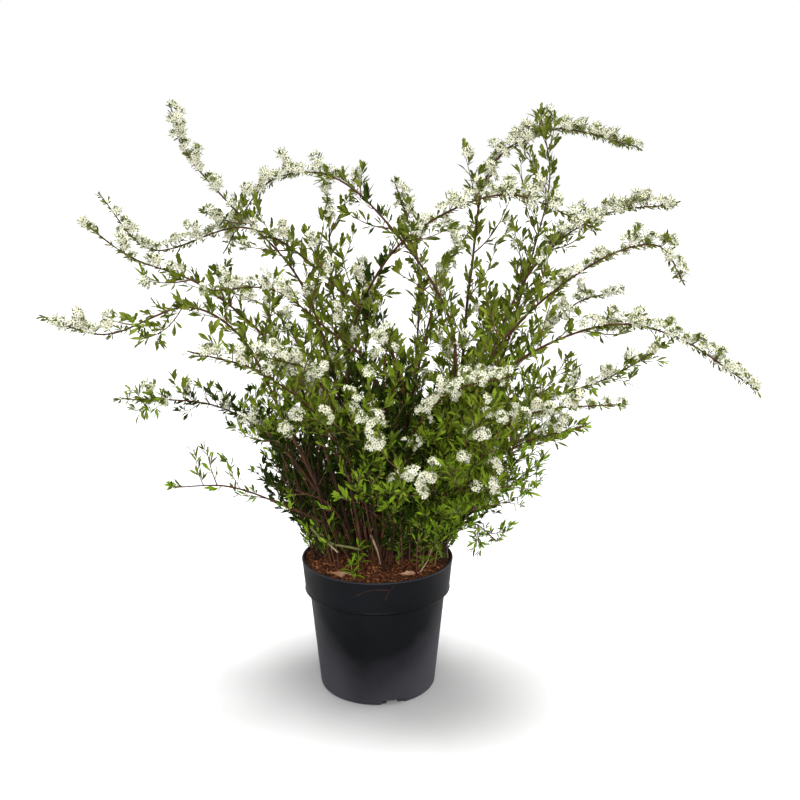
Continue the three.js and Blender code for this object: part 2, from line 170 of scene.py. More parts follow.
def makeFloor():
    half = studio["floorSize"] / 2
    corners = [(-half, -half, 0), (half, -half, 0), (half, half, 0), (-half, half, 0)]
    mesh = bpy.data.meshes.new("floor")
    mesh.from_pydata(corners, [], [(0, 1, 2, 3)])
    paint, nodes, shader = newFinish("floorPaint", studio["floorRoughness"])
    seen = nodes.add("ShaderNodeLightPath")
    colour = nodes.add(
        "ShaderNodeMix", {"data_type": "RGBA"}, Factor=seen.outputs["Is Camera Ray"],
        A=studio["floorBounce"], B=studio["floorColour"],
    )
    nodes.put(shader.inputs["Base Color"], colour)
    mesh.materials.append(paint)
    linked("floor", mesh)


makeCamera()
makeSky()
for name, lamp in lamps.items():
    makeLamp(name, *lamp)
makeFloor()
print("camera, floor and light made")


def noiseOn(nodes, scale, detail=3, stretch=(1, 1, 1), shift=(0, 0, 0)):
    place = nodes.add("ShaderNodeTexCoord")
    mapping = nodes.add("ShaderNodeMapping", Vector=place.outputs["Object"], Location=shift, Scale=stretch)
    return nodes.add("ShaderNodeTexNoise", Vector=mapping, Scale=scale, Detail=detail).outputs["Fac"]


def rampOn(nodes, source, stops):
    ramp = nodes.add("ShaderNodeValToRGB", Fac=source)
    elements = ramp.color_ramp.elements
    while len(elements) < len(stops):
        elements.new(0.5)
    for element, (at, colour) in zip(elements, stops):
        element.position = at
        element.color = (*colour, 1)
    return ramp.outputs["Color"]


def bumpOn(nodes, shader, height, strength, distance):
    bump = nodes.add("ShaderNodeBump", Height=height, Strength=strength, Distance=distance)
    nodes.put(shader.inputs["Normal"], bump)


def mottled(name, stops, scale, roughness, specular=0.5, bump=None, detail=3, stretch=(1, 1, 1)):
    # one colour that drifts between a few others
    finish, nodes, shader = newFinish(name, roughness, specular)
    grain = noiseOn(nodes, scale, detail, stretch)
    nodes.put(shader.inputs["Base Color"], rampOn(nodes, grain, stops))
    if bump:
        bumpOn(nodes, shader, grain, *bump)
    return finish


# Black polypropylene with a bluish cast. A pale bluish layer lies on the foot of the pot, partly dust and
# partly painted sheen, and rises higher up its left and right sides as painted sheen; the top edge of the
# rim carries a painted highlight. Heights are in metres.
plastic = {
    "stops": [(0.3, (0.002, 0.0025, 0.0035)), (0.75, (0.006, 0.0065, 0.009))],
    "cloud": {"scale": 9, "detail": 4},
    "specular": 0.14,
    "roughness": (0.32, 0.56),
    "scuff": {"scale": 30, "detail": 6, "stretch": (1, 1, 0.25), "shift": (3, 1, 2)},
    "grain": {"scale": 900, "detail": 2},
    "grainBump": {"strength": 0.08, "distance": 0.0004},
    # pale bluish: partly dust, partly a painted sheen on the lower sides
    "dustAndSheen": (0.1, 0.097, 0.115, 1),
    "dustAndSheenRise": 0.045,
    "dustAndSheenBow": 8.5,
    "dustAndSheenCloud": 0.1,
    "dustAndSheenSoft": 0.2,
    # a painted highlight on the top edge of the rim, and the height above which it lies
    "rimHighlight": 0.3,
    "rimHighlightAbove": 0.2478,
}


def potPlastic():
    finish, nodes, shader = newFinish("potPlastic", plastic["roughness"][0], plastic["specular"])
    cloud = noiseOn(nodes, **plastic["cloud"])
    place = nodes.add("ShaderNodeTexCoord")
    axes = nodes.add("ShaderNodeSeparateXYZ", Vector=place.outputs["Object"])
    # the height up to which the pale layer lies; it rises with x squared towards the left and right sides,
    # which is painted sheen
    line = nodes.math("POWER", axes.outputs["X"], 2.0)
    line = nodes.math("MULTIPLY_ADD", line, plastic["dustAndSheenBow"], plastic["dustAndSheenRise"])
    line = nodes.math("MULTIPLY_ADD", cloud, plastic["dustAndSheenCloud"], line)
    depth = nodes.math("DIVIDE", nodes.math("SUBTRACT", line, axes.outputs["Z"]), plastic["dustAndSheenSoft"])
    # the top edge of the rim gets a painted highlight
    edge = nodes.math("GREATER_THAN", axes.outputs["Z"], plastic["rimHighlightAbove"])
    share = nodes.math("MAXIMUM", depth, nodes.math("MULTIPLY", edge, plastic["rimHighlight"]))
    # the pale bluish layer, partly dust on the foot and partly painted sheen
    withDustAndSheen = nodes.add(
        "ShaderNodeMix", {"data_type": "RGBA"}, Factor=nodes.math("MINIMUM", share, 1.0),
        A=rampOn(nodes, cloud, plastic["stops"]), B=plastic["dustAndSheen"],
    )
    nodes.put(shader.inputs["Base Color"], withDustAndSheen)
    smooth, rough = plastic["roughness"]
    scuff = noiseOn(nodes, **plastic["scuff"])
    scuffed = nodes.add("ShaderNodeMapRange", Value=scuff, To_Min=smooth, To_Max=rough)
    nodes.put(shader.inputs["Roughness"], scuffed)
    bumpOn(nodes, shader, noiseOn(nodes, **plastic["grain"]), **plastic["grainBump"])
    return finish


# Finishes of one drifting colour. A bump is its strength and its depth in metres.
mottles = {
    "coirSoil": {
        "stops": [(0.36, (0.016, 0.006, 0.003)), (0.52, (0.1, 0.035, 0.015)), (0.68, (0.32, 0.13, 0.05))],
        "scale": 260, "roughness": 0.95, "specular": 0.2, "bump": (0.9, 0.003), "detail": 8,
    },
    "coirFibre": {
        "stops": [(0.36, (0.02, 0.006, 0.003)), (0.52, (0.15, 0.045, 0.017)), (0.66, (0.52, 0.22, 0.085))],
        "scale": 190, "roughness": 0.9, "specular": 0.2, "bump": (0.5, 0.0006),
    },
    "stemBark": {
        "stops": [(0.3, (0.022, 0.008, 0.004)), (0.55, (0.08, 0.027, 0.013)), (0.8, (0.16, 0.066, 0.034))],
        "scale": 120, "roughness": 0.75, "specular": 0.3, "bump": (0.7, 0.0008), "detail": 6,
        "stretch": (1, 1, 0.22),
    },
    # old bark, darkened further as painted shade for the low boughs and canes inside the crown
    "oldShadedBark": {
        "stops": [(0.3, (0.009, 0.004, 0.003)), (0.55, (0.03, 0.012, 0.008)), (0.8, (0.075, 0.034, 0.021))],
        "scale": 120, "roughness": 0.8, "specular": 0.2, "bump": (0.7, 0.0008), "detail": 6,
        "stretch": (1, 1, 0.22),
    },
    "twigBark": {
        "stops": [(0.3, (0.07, 0.025, 0.012)), (0.7, (0.18, 0.075, 0.035))],
        "scale": 90, "roughness": 0.6, "specular": 0.4, "bump": (0.4, 0.0004),
    },
    "deadLeaf": {
        "stops": [(0.3, (0.28, 0.14, 0.08)), (0.7, (0.48, 0.28, 0.17))],
        "scale": 60, "roughness": 0.8, "specular": 0.2,
    },
    "greenCane": {
        "stops": [(0.3, (0.09, 0.1, 0.03)), (0.7, (0.2, 0.19, 0.07))],
        "scale": 60, "roughness": 0.7, "specular": 0.3,
    },
    "straw": {
        "stops": [(0.3, (0.36, 0.24, 0.13)), (0.7, (0.6, 0.46, 0.28))],
        "scale": 60, "roughness": 0.8, "specular": 0.3,
    },
    "flowerStalk": {
        "stops": [(0.3, (0.16, 0.24, 0.05)), (0.7, (0.3, 0.4, 0.1))], "scale": 60, "roughness": 0.5,
    },
    "petal": {
        "stops": [(0.3, (0.7, 0.68, 0.53)), (0.6, (0.88, 0.86, 0.73))],
        "scale": 45, "roughness": 0.6, "specular": 0.15,
    },
    # the stalks' green, darkened as painted shade inside the dome of florets
    "shadedUmbelHeart": {
        "stops": [(0.3, (0.07, 0.1, 0.02)), (0.7, (0.14, 0.18, 0.05))],
        "scale": 80, "roughness": 0.7, "specular": 0.1,
    },
    "flowerEye": {
        "stops": [(0.3, (0.22, 0.25, 0.03)), (0.7, (0.4, 0.4, 0.07))],
        "scale": 300, "roughness": 0.6, "specular": 0.15,
    },
}
# Leaf greens: the leaves inside the crown, painted dark as shade, the dark ones among the others, and
# then those from its foot to its top.
leafGreens = {
    "leafPaintedShade": ((0.012, 0.024, 0.002), (0.04, 0.066, 0.005)),
    "leafDeep": ((0.045, 0.068, 0.004), (0.1, 0.135, 0.01)),
    "leafFresh": ((0.125, 0.225, 0.009), (0.25, 0.39, 0.022)),
    "leafMeadow": ((0.12, 0.185, 0.009), (0.235, 0.32, 0.024)),
    "leafOlive": ((0.1, 0.13, 0.008), (0.2, 0.24, 0.022)),
    "leafGrey": ((0.1, 0.125, 0.01), (0.2, 0.23, 0.03)),
}
for name, (dark, light) in leafGreens.items():
    mottles[name] = {"stops": [(0.32, dark), (0.68, light)], "scale": 70, "roughness": 0.6, "specular": 0.08}
finishes = {name: mottled(name, **look) for name, look in mottles.items()}
finishes["potPlastic"] = potPlastic()
print("finishes made:", len(finishes))


class Grower(Nodes):
    # a Geometry Nodes tree under construction, with named inputs for its sizes
    kinds = {bool: "Bool", int: "Int", float: "Float", tuple: "Vector"}

    def __init__(self, name, **sizes):
        super().__init__(bpy.data.node_groups.new(name, "GeometryNodeTree"))
        self.sockets = {}
        self.socket("Geometry", "Geometry")
        for label, value in sizes.items():
            self.socket(label, self.kinds[type(value)]).default_value = value
        self.socket("Finish", "Material")
        self.socket("Geometry", "Geometry", "OUTPUT")
        self.start = self.tree.nodes.new("NodeGroupInput")
        self.end = self.tree.nodes.new("NodeGroupOutput")

    def socket(self, label, kind, side="INPUT"):
        made = self.tree.interface.new_socket(label, in_out=side, socket_type="NodeSocket" + kind)
        self.sockets[label] = made.identifier
        return made

    def given(self, label):
        return self.start.outputs[label]

    def field(self, label, kind="FLOAT"):
        return self.add("GeometryNodeInputNamedAttribute", {"data_type": kind}, Name=label)

    def scatter(self, shape, smooth=True, **choice):
        # the shape on every point, with Y along the point's way and Z towards its face
        axes = {"axis": "Z", "pivot_axis": "Y"}
        way, face = self.field("way", "FLOAT_VECTOR"), self.field("face", "FLOAT_VECTOR")
        along = self.add("FunctionNodeAlignRotationToVector", {"axis": "Y"}, Vector=way)
        turn = self.add("FunctionNodeAlignRotationToVector", axes, Rotation=along, Vector=face)
        size = self.math("MULTIPLY", self.field("size"), self.given("Scale"))
        placed = self.add(
            "GeometryNodeInstanceOnPoints", Points=self.given("Geometry"), Instance=shape, Rotation=turn,
            Scale=size, **choice,
        )
        return self.finish(placed, smooth)

    def finish(self, geometry, smooth=True):
        whole = self.add("GeometryNodeRealizeInstances", Geometry=geometry)
        shaded = self.add("GeometryNodeSetShadeSmooth", Geometry=whole, Shade_Smooth=smooth)
        done = self.add("GeometryNodeSetMaterial", Geometry=shaded, Material=self.given("Finish"))
        self.put(self.end.inputs[0], done)
        return self


def evaluated(piece):
    return bpy.data.meshes.new_from_object(piece.evaluated_get(bpy.context.evaluated_depsgraph_get()))


def grown(piece, grower, finish, **sizes):
    # the tree's result as a plain mesh, without the values that only the tree reads
    modifier = piece.modifiers.new("grow", "NODES")
    modifier.node_group = grower.tree
    for label, value in sizes.items():
        modifier[grower.sockets[label]] = value
    modifier[grower.sockets["Finish"]] = finish
    mesh = evaluated(piece)
    piece.modifiers.remove(modifier)
    old = piece.data
    piece.data = mesh
    bpy.data.meshes.remove(old)
    mesh.name = piece.name
    for label in [a.name for a in mesh.attributes if a.name in ("way", "face", "size", "form", "girth")]:
        mesh.attributes.remove(mesh.attributes[label])
    print(piece.name, len(mesh.polygons), "faces")
    return piece


def worn(piece, slot, *nodes):
    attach(piece, "root")
    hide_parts(*nodes)


def cloudOf(name, spots, edges=(), **values):
    # points, with or without edges, that carry named values for a node tree
    mesh = bpy.data.meshes.new(name)
    mesh.from_pydata(np.asarray(spots, dtype=float) * mm, edges, [])
    for label, numbers in values.items():
        numbers = np.asarray(numbers)
        kind = "FLOAT_VECTOR" if numbers.ndim == 2 else "INT" if numbers.dtype.kind == "i" else "FLOAT"
        field = mesh.attributes.new(label, kind, "POINT")
        field.data.foreach_set("vector" if numbers.ndim == 2 else "value", numbers.ravel())
    return linked(name, mesh)


def pointsOf(name, rows):
    # rows of spot, way, face, size and, for leaves, form
    spots, ways, faces, sizes, *forms = (np.array(column) for column in zip(*rows))
    more = {"form": forms[0].astype(np.int32)} if forms else {}
    return cloudOf(name, spots, way=ways, face=faces, size=sizes * mm, **more)


def linesOf(name, rows):
    # rows of spots and girths, one for each line
    edges, base = [], 0
    for spots, _ in rows:
        edges += [(base + i, base + i + 1) for i in range(len(spots) - 1)]
        base += len(spots)
    girths = np.concatenate([girths for _, girths in rows])
    return cloudOf(name, np.vstack([spots for spots, _ in rows]), edges, girth=girths * mm)


# The relief of bark: ridges drawn out along the limb, and lumps.
barkNoise = {"stretch": (1, 1, 0.3), "ridges": 420.0, "ridgeMiddle": 0.5, "lumps": 70.0, "lumpMiddle": 0.45}


def limbTree():
    # a round limb along each line of edges, as thick as its `girth`
    tree = Grower("growLimbs", Sides=8, Relief=0.0, Lumps=0.0, Capped=True)
    line = tree.add("GeometryNodeMeshToCurve", Mesh=tree.given("Geometry"))
    outline = tree.add("GeometryNodeCurvePrimitiveCircle", Resolution=tree.given("Sides"), Radius=1.0)
    limb = tree.add(
        "GeometryNodeCurveToMesh", Curve=line, Profile_Curve=outline, Scale=tree.field("girth"),
        Fill_Caps=tree.given("Capped"),
    )
    place = tree.add("GeometryNodeInputPosition")
    stretched = tree.math("MULTIPLY", place, barkNoise["stretch"], kind="ShaderNodeVectorMath")
    ridges = tree.add("ShaderNodeTexNoise", Vector=stretched, Scale=barkNoise["ridges"], Detail=3.0)
    knots = tree.add("ShaderNodeTexNoise", Vector=place, Scale=barkNoise["lumps"], Detail=1.0)
    fine = tree.math("SUBTRACT", ridges, barkNoise["ridgeMiddle"])
    coarse = tree.math("SUBTRACT", knots, barkNoise["lumpMiddle"])
    fine = tree.math("MULTIPLY", fine, tree.given("Relief"))
    height = tree.math("ADD", fine, tree.math("MULTIPLY", coarse, tree.given("Lumps")))
    push = tree.math("SCALE", tree.add("GeometryNodeInputNormal"), height, kind="ShaderNodeVectorMath")
    return tree.finish(tree.add("GeometryNodeSetPosition", Geometry=limb, Offset=push))


# Width, curl, fold and outline of each form, from root to tip: two toothed blades, three plain ones
# and a bare lozenge for the inside of the crown.
leafForms = [
    (0.33, 0.1, 0.35, (0, 0.24, 0.45, 1, 0.62, 0.82, 0)),
    (0.31, 0.22, 0.3, (0, 0.22, 0.5, 0.75, 1, 0.55, 0)),
    (0.26, 0.16, 0.4, (0, 0.62, 1, 0.62, 0)),
    (0.22, -0.06, 0.5, (0, 0.5, 0.95, 0.75, 0)),
    (0.2, 0.25, 0.4, (0, 0.9, 0.85, 0)),
    (0.3, 0.15, 0.4, (0, 1, 0)),
]
toothedForms, plainForms, shadedForm = (0, 1), (2, 4), 5


def leafBlade(tree, width, curl, fold, widths):
    # one leaf of unit length along Y, its outline from a curve of widths
    rows = len(widths)
    grid = tree.add("GeometryNodeMeshGrid", Size_X=1.0, Size_Y=1.0, Vertices_X=3, Vertices_Y=rows)
    place = tree.add("ShaderNodeSeparateXYZ", Vector=tree.add("GeometryNodeInputPosition"))
    along = tree.math("ADD", place.outputs["Y"], 0.5)
    outline = tree.add("ShaderNodeFloatCurve", Value=along)
    line = outline.mapping.curves[0]
    while len(line.points) < rows:
        line.points.new(0.5, 0.5)
    for i, (point, share) in enumerate(zip(line.points, widths)):
        point.location = (i / (rows - 1), share)
        point.handle_type = "VECTOR"
    outline.mapping.update()
    across = tree.math("MULTIPLY", place.outputs["X"], tree.math("MULTIPLY", outline, width))
    sunk = tree.math("MULTIPLY", tree.math("POWER", along, 2.0), -curl)
    raised = tree.math("MULTIPLY", tree.math("ABSOLUTE", across), fold)
    spot = tree.add("ShaderNodeCombineXYZ", X=across, Y=along, Z=tree.math("ADD", sunk, raised))
    blade = tree.add("GeometryNodeSetPosition", Geometry=grid, Position=spot)
    # the rows of no width close to a point
    closed = tree.add("GeometryNodeMergeByDistance", Geometry=blade, Distance=0.001)
    return tree.add("GeometryNodeGeometryToInstance", Geometry=closed)


def leafTree():
    tree = Grower("growLeaves", Scale=1.0)
    forms = tree.add("GeometryNodeJoinGeometry")
    for form in reversed(leafForms):
        tree.put(forms.inputs[0], leafBlade(tree, *form))
    return tree.scatter(forms, Pick_Instance=True, Instance_Index=tree.field("form", "INT"))


# A floret is a rosette: each petal has two outer corners, and a notch parts it from the last one.
rosette = {"petals": 5, "halfWidth": 19, "notch": 0.5, "cup": 0.22}


def floretTree():
    # round petals about a centre, facing +Y
    tree = Grower("growFlorets", Scale=1.0, Petals=rosette["petals"], Cup=rosette["cup"])
    petals, notch = rosette["petals"], rosette["notch"]
    corners = tree.math("MULTIPLY", tree.given("Petals"), 3.0)
    disc = tree.add("GeometryNodeMeshCircle", {"fill_type": "TRIANGLE_FAN"}, Vertices=corners, Radius=1.0)
    index = tree.add("GeometryNodeInputIndex")
    petal = tree.math("FLOOR", tree.math("DIVIDE", index, 3.0))
    corner = tree.math("MODULO", index, 3.0)
    isOuter = tree.math("MINIMUM", corner, 1.0)
    isSecond = tree.math("MAXIMUM", tree.math("SUBTRACT", corner, 1.0), 0.0)
    half, step = math.radians(rosette["halfWidth"]), 2 * math.pi / petals
    start = tree.math("MULTIPLY_ADD", petal, step, -step / 2)
    first = tree.math("MULTIPLY_ADD", isOuter, step / 2 - half, start)
    angle = tree.math("MULTIPLY_ADD", isSecond, 2 * half, first)
    reach = tree.math("MULTIPLY_ADD", isOuter, 1 - notch, notch)
    # the last point of the disc is its centre
    reach = tree.math("MULTIPLY", reach, tree.math("LESS_THAN", petal, petals - 0.5))
    across = tree.math("MULTIPLY", tree.math("COSINE", angle), reach)
    depth = tree.math("MULTIPLY", tree.math("SINE", angle), reach)
    raised = tree.math("MULTIPLY", tree.math("POWER", reach, 2.0), tree.given("Cup"))
    spot = tree.add("ShaderNodeCombineXYZ", X=across, Y=depth, Z=raised)
    shaped = tree.add("GeometryNodeSetPosition", Geometry=disc, Position=spot)
    facing = tree.add("GeometryNodeTransform", Geometry=shaped, Rotation=(-math.pi / 2, 0, 0))
    return tree.scatter(facing, smooth=False)


def knobTree(cap):
    # a short tapered knob or stalk on each point, pointing along +Y
    tree = Grower("growKnobs", Scale=1.0, Sides=3, Foot=0.1, Top=0.1, Depth=1.0, Lift=0.5)
    knob = tree.add(
        "GeometryNodeMeshCone", {"fill_type": cap}, Vertices=tree.given("Sides"),
        Radius_Top=tree.given("Top"), Radius_Bottom=tree.given("Foot"), Depth=tree.given("Depth"),
    )
    lift = tree.add("ShaderNodeCombineXYZ", Y=tree.given("Lift"))
    quarter = (-math.pi / 2, 0, 0)
    return tree.scatter(tree.add("GeometryNodeTransform", Geometry=knob, Translation=lift, Rotation=quarter))


limbGrower, leafGrower = limbTree(), leafTree()

# The rule by which the shoots grow, in mm.
soil = {"top": 244, "crownRadius": 78, "edgeTop": 238, "fall": 55}
wood = {
    "footRadius": 4.6, "slimmest": 0.35, "fullLength": 850, "tipRadius": 1.5, "taper": 0.8,
    "footFlare": 0.45, "flareShare": 0.12, "joint": 0.3, "buried": 6, "boughStep": 65,
}
stem = {"step": 75, "slimming": 0.98, "bareAfterBough": 20, "bareAfterSoil": 80}
rule = {"turn": 137.5, "nodeGap": 40, "sway": 12, "clearance": 0.8, "upright": 0.9}
search = {"attempts": 300, "swayGrowth": 100, "outGrowth": 6, "asideGrowth": 2, "leastArea": 1e-9}
seeds = {"first": 101, "perShoot": 17, "perAttempt": 7919, "perTwig": 977}
foothold = {"nearest": 8, "perLean": 44, "scatter": 14, "aside": 16, "inset": 10}
# How much each growth leaves its stem straight out, along it and upwards.
twigWay, tuftWay, headWay = (1, 0.6, 0.45), (0.8, 0.75, 0.35), (1, 0.2, 0.7)

# Name, heading in degrees from +X to +Y, length of the bare bough, share of the whole length after
# which it flowers, how rich it is in blossom, leaves and twigs beside the others, and the waypoints:
# how far out from the axis, and how high.
shoots = [
    ("north_west_wisp", 158, 260, 0.76, (0.95, 1, 1),
     [(64, 502), (150, 755), (308, 902), (372, 975), (412, 1070)]),
    ("west_crown_arch", 150, 250, 0.72, (0.85, 1, 0.75),
     [(-150, 660), (-20, 868), (115, 943), (245, 923), (338, 795)]),
    ("west_high", 160, 240, 0.58, (0.7, 1.7, 0.75),
     [(-45, 600), (100, 772), (256, 847), (461, 804), (578, 908)]),
    ("west_mid", 190, 200, 0.78, (0.62, 1.7, 0.8), [(154, 605), (300, 755), (418, 806), (493, 866)]),
    ("west_long", 200, 170, 0.82, (0.58, 1.3, 1),
     [(161, 502), (248, 678), (326, 725), (465, 686), (563, 724)]),
    ("west_bloom", 218, 190, 0.76, (0.8, 1.2, 1), [(12, 590), (107, 688), (212, 757), (331, 764)]),
    ("west_shelf", 176, 110, 0.5, (0.12, 1.6, 2.2), [(89, 328), (198, 470), (298, 531), (466, 542)]),
    ("crown_left", 120, 190, 0.9, (1, 1, 0.75), [(110, 420), (150, 680), (205, 925)]),
    ("crown_mid", 70, 180, 0.86, (1, 1, 0.75), [(123, 380), (240, 600), (205, 790), (112, 925)]),
    ("north_east_high", 30, 250, 0.63, (1.4, 1, 1),
     [(166, 490), (194, 750), (250, 955), (370, 1024), (604, 997)]),
    ("east_spire", 20, 230, 1, (1, 1.4, 1), [(185, 454), (300, 788), (343, 940), (320, 1040)]),
    ("east_bow", 318, 220, 0.64, (1.1, 1.2, 1),
     [(-61, 630), (25, 793), (123, 864), (270, 910), (442, 865)]),
    ("east_high", 15, 220, 0.71, (1.3, 1.25, 1), [(159, 479), (299, 780), (425, 868), (582, 888)]),
    ("east_arch", 338, 200, 0.69, (1.1, 1.2, 1),
     [(122, 408), (228, 658), (403, 812), (485, 831), (527, 770)]),
    ("east_long", 349, 150, 0.64, (1.2, 1, 1),
     [(98, 385), (221, 600), (400, 691), (509, 676), (655, 587)]),
    ("east_mid", 30, 160, 0.7, (1, 1, 1), [(158, 430), (365, 645), (470, 696), (552, 713)]),
    ("east_low", 2, 120, 0.55, (0.5, 1.4, 1.8), [(116, 351), (263, 520), (424, 586), (520, 643)]),
    ("east_twig", 326, 120, 0.6, (0.6, 1.3, 1.35), [(136, 399), (252, 524), (325, 564), (460, 592)]),
    ("front_left", 240, 150, 0.66, (1, 1, 1), [(70, 430), (180, 613), (338, 677)]),
    ("front_right", 301, 150, 0.52, (1, 1, 1), [(60, 420), (200, 583), (386, 651)]),
    ("front_mid", 271, 0, 0.76, (0.8, 1, 1), [(60, 400), (160, 530), (286, 549)]),
    ("front_high", 279, 0, 0.8, (1, 1, 1), [(45, 480), (90, 620), (150, 698)]),
    ("back_right", 62, 170, 0.66, (0.8, 1, 1), [(110, 480), (240, 740), (440, 840)]),
    ("back_mid", 95, 160, 0.64, (0.7, 1, 0.75), [(110, 460), (260, 690), (460, 760)]),
    ("back_left", 134, 150, 0.64, (0.7, 1, 1), [(120, 440), (280, 660), (490, 715)]),
    ("west_twig", 228, 0, 0.7, (0.5, 1.4, 1), [(118, 493), (281, 635), (412, 685)]),
    ("west_skirt", 205, 0, 1, (1, 0.4, 1), [(75, 300), (200, 382), (280, 417), (374, 430)]),
    ("east_skirt", 330, 0, 0.8, (0.5, 1.35, 1.8), [(105, 315), (263, 487), (396, 545)]),
    ("east_droop", 350, 0, 1, (1, 0.6, 1), [(95, 278), (175, 325), (222, 288)]),
    ("apron_west", 236, 0, 1, (1, 0.35, 0.6), [(80, 310), (150, 390), (220, 430)]),
    ("apron_mid", 262, 0, 1, (1, 0.6, 1), [(60, 320), (110, 390), (180, 430)]),
    ("apron_east", 289, 0, 0.7, (1, 1, 1.4), [(70, 330), (150, 430), (240, 471)]),
    ("apron_right", 315, 0, 1, (1, 1.3, 1.6), [(80, 320), (180, 410), (282, 450)]),
    ("back_low_right", 48, 0, 0.8, (1, 1, 1.7), [(90, 340), (230, 460), (400, 520)]),
    ("back_low_left", 110, 0, 0.8, (1, 1, 1.4), [(90, 340), (230, 470), (410, 530)]),
]


def seededDraw(seed):
    # the stream of numbers from 0 to 1 that places the stems
    full = 0xFFFFFFFF
    state = seed & full

    def draw():
        nonlocal state
        state = (state + 0x6D2B79F5) & full
        mixed = ((state ^ (state >> 15)) * (state | 1)) & full
        mixed = ((mixed + (mixed ^ (mixed >> 7)) * (mixed | 61)) & full) ^ mixed
        return ((mixed ^ (mixed >> 14)) & full) / 2**32

    return draw


class Path:
    # a centripetal Catmull-Rom curve through spots, read by its share of length
    fineness = 401  # spots on which its length is measured
    nudge = 0.0001  # between the two spots that give its way

    def __init__(self, spots):
        spots = np.array(spots, dtype=float)
        ends = np.vstack([2 * spots[0] - spots[1], spots, 2 * spots[-1] - spots[-2]])
        gaps = np.linalg.norm(np.diff(ends, axis=0), axis=1) ** 0.5
        pieces = []
        for i in range(len(spots) - 1):
            x0, x1, x2, x3 = ends[i : i + 4]
            d0, d1, d2 = gaps[i : i + 3]
            first = ((x1 - x0) / d0 - (x2 - x0) / (d0 + d1) + (x2 - x1) / d1) * d1
            last = ((x2 - x1) / d1 - (x3 - x1) / (d1 + d2) + (x3 - x2) / d2) * d1
            pieces.append((x1, first, 3 * (x2 - x1) - 2 * first - last, 2 * (x1 - x2) + first + last))
        self.pieces = np.array(pieces)
        self.steps = np.linspace(0, 1, self.fineness)
        trail = self.at(self.steps)
        self.reach = np.concatenate([[0], np.cumsum(np.linalg.norm(np.diff(trail, axis=0), axis=1))])
        self.length = self.reach[-1]

    def at(self, t):
        place = np.asarray(t) * len(self.pieces)
        index = np.minimum(place.astype(int), len(self.pieces) - 1)
        w = (place - index)[..., None]
        a, b, c, d = (self.pieces[index, k] for k in range(4))
        return a + w * (b + w * (c + w * d))

    def share(self, shares):
        return np.interp(np.asarray(shares) * self.length, self.reach, self.steps)

    def points(self, shares):
        return self.at(self.share(shares))

    def ways(self, shares):
        t = self.share(shares)
        way = self.at(np.minimum(t + self.nudge, 1)) - self.at(np.maximum(t - self.nudge, 0))
        return way / np.linalg.norm(way, axis=-1, keepdims=True)


def shootPath(way, seed, attempt):
    draw = seededDraw(seed + attempt * seeds["perAttempt"])
    sway = rule["sway"] * (1 + attempt / search["swayGrowth"])
    firstOut, firstHeight = way[0]
    lean = min(1, abs(firstOut) / (firstHeight - soil["top"]))
    scatter = draw() * (foothold["scatter"] + attempt / search["outGrowth"])
    out = foothold["nearest"] + foothold["perLean"] * lean + scatter
    aside = (draw() - 0.5) * (foothold["aside"] + attempt / search["asideGrowth"])
    foot = np.array([math.copysign(out, firstOut), aside])
    foot *= min(1, (soil["crownRadius"] - foothold["inset"]) / np.linalg.norm(foot))
    spots = [(*foot, soil["top"] - wood["buried"])]
    spots += [(far, mix(-sway, sway, draw()), height) for far, height in way]
    return Path(spots)


def woodRadius(length, share):
    foot = wood["footRadius"] * min(1, mix(wood["slimmest"], 1, length / wood["fullLength"]))
    flare = 1 + wood["footFlare"] * np.maximum(0, 1 - share / wood["flareShare"]) ** 2
    return mix(foot, wood["tipRadius"], share ** wood["taper"]) * flare


def turnedBy(spots, heading):
    c, s = math.cos(math.radians(heading)), math.sin(math.radians(heading))
    return spots @ np.array([[c, s, 0], [-s, c, 0], [0, 0, 1]])


def limbSticks(path, bare, start, heading):
    # straight sticks that stand for a stem and its bough: their two ends and their thickness
    stretches = [(start, 1, stem["step"], stem["slimming"])]
    if bare:
        stretches.append((0, bare, wood["boughStep"], 1))
    sticks = []
    for first, last, step, slimming in stretches:
        count = math.floor((last - first) * path.length / step + 0.5) + 1
        shares = np.linspace(first, last, count + 1)
        spots = turnedBy(path.points(shares), heading)
        sticks.append((spots[:-1], spots[1:], woodRadius(path.length, shares[:-1]) * slimming))
    return [np.concatenate(column) for column in zip(*sticks)]


def gapsBetween(a, b, c, d):
    # shortest distance between every stick a-b and every stick c-d
    ab, cd = (b - a)[:, None], (d - c)[None]
    ca = a[:, None] - c[None]
    p, q, r = (ab * ab).sum(-1), (ab * cd).sum(-1), (cd * cd).sum(-1)
    e, f = (ab * ca).sum(-1), (cd * ca).sum(-1)
    area, least = p * r - q * q, search["leastArea"]
    s = np.where(area > least, np.clip((q * f - r * e) / np.maximum(area, least), 0, 1), 0)
    t = np.clip((q * s + f) / r, 0, 1)
    s = np.clip((q * t - e) / p, 0, 1)
    return np.linalg.norm(ca + ab * s[..., None] - cd * t[..., None], axis=-1)


def planShoots():
    # every bough and stem has its place before the first leaf grows
    found, placed = [], None
    for number, (name, heading, boughLength, bloom, richness, way) in enumerate(shoots):
        seed = seeds["first"] + number * seeds["perShoot"]
        for attempt in range(search["attempts"]):
            path = shootPath(way, seed, attempt)
            bare = boughLength / path.length
            start = (boughLength + wood["joint"]) / path.length if boughLength else 0
            a, b, thick = limbSticks(path, bare, start, heading)
            if placed is None:
                placed = (a, b, thick)
                break
            room = thick[:, None] + placed[2][None] + rule["clearance"]
            if (gapsBetween(a, b, placed[0], placed[1]) > room).all():
                placed = [np.concatenate(pair) for pair in zip(placed, (a, b, thick))]
                break
        found.append({
            "heading": heading, "seed": seed, "path": path, "bare": bare, "start": start, "bloom": bloom,
            "richness": richness, "attempt": attempt,
        })
    return found


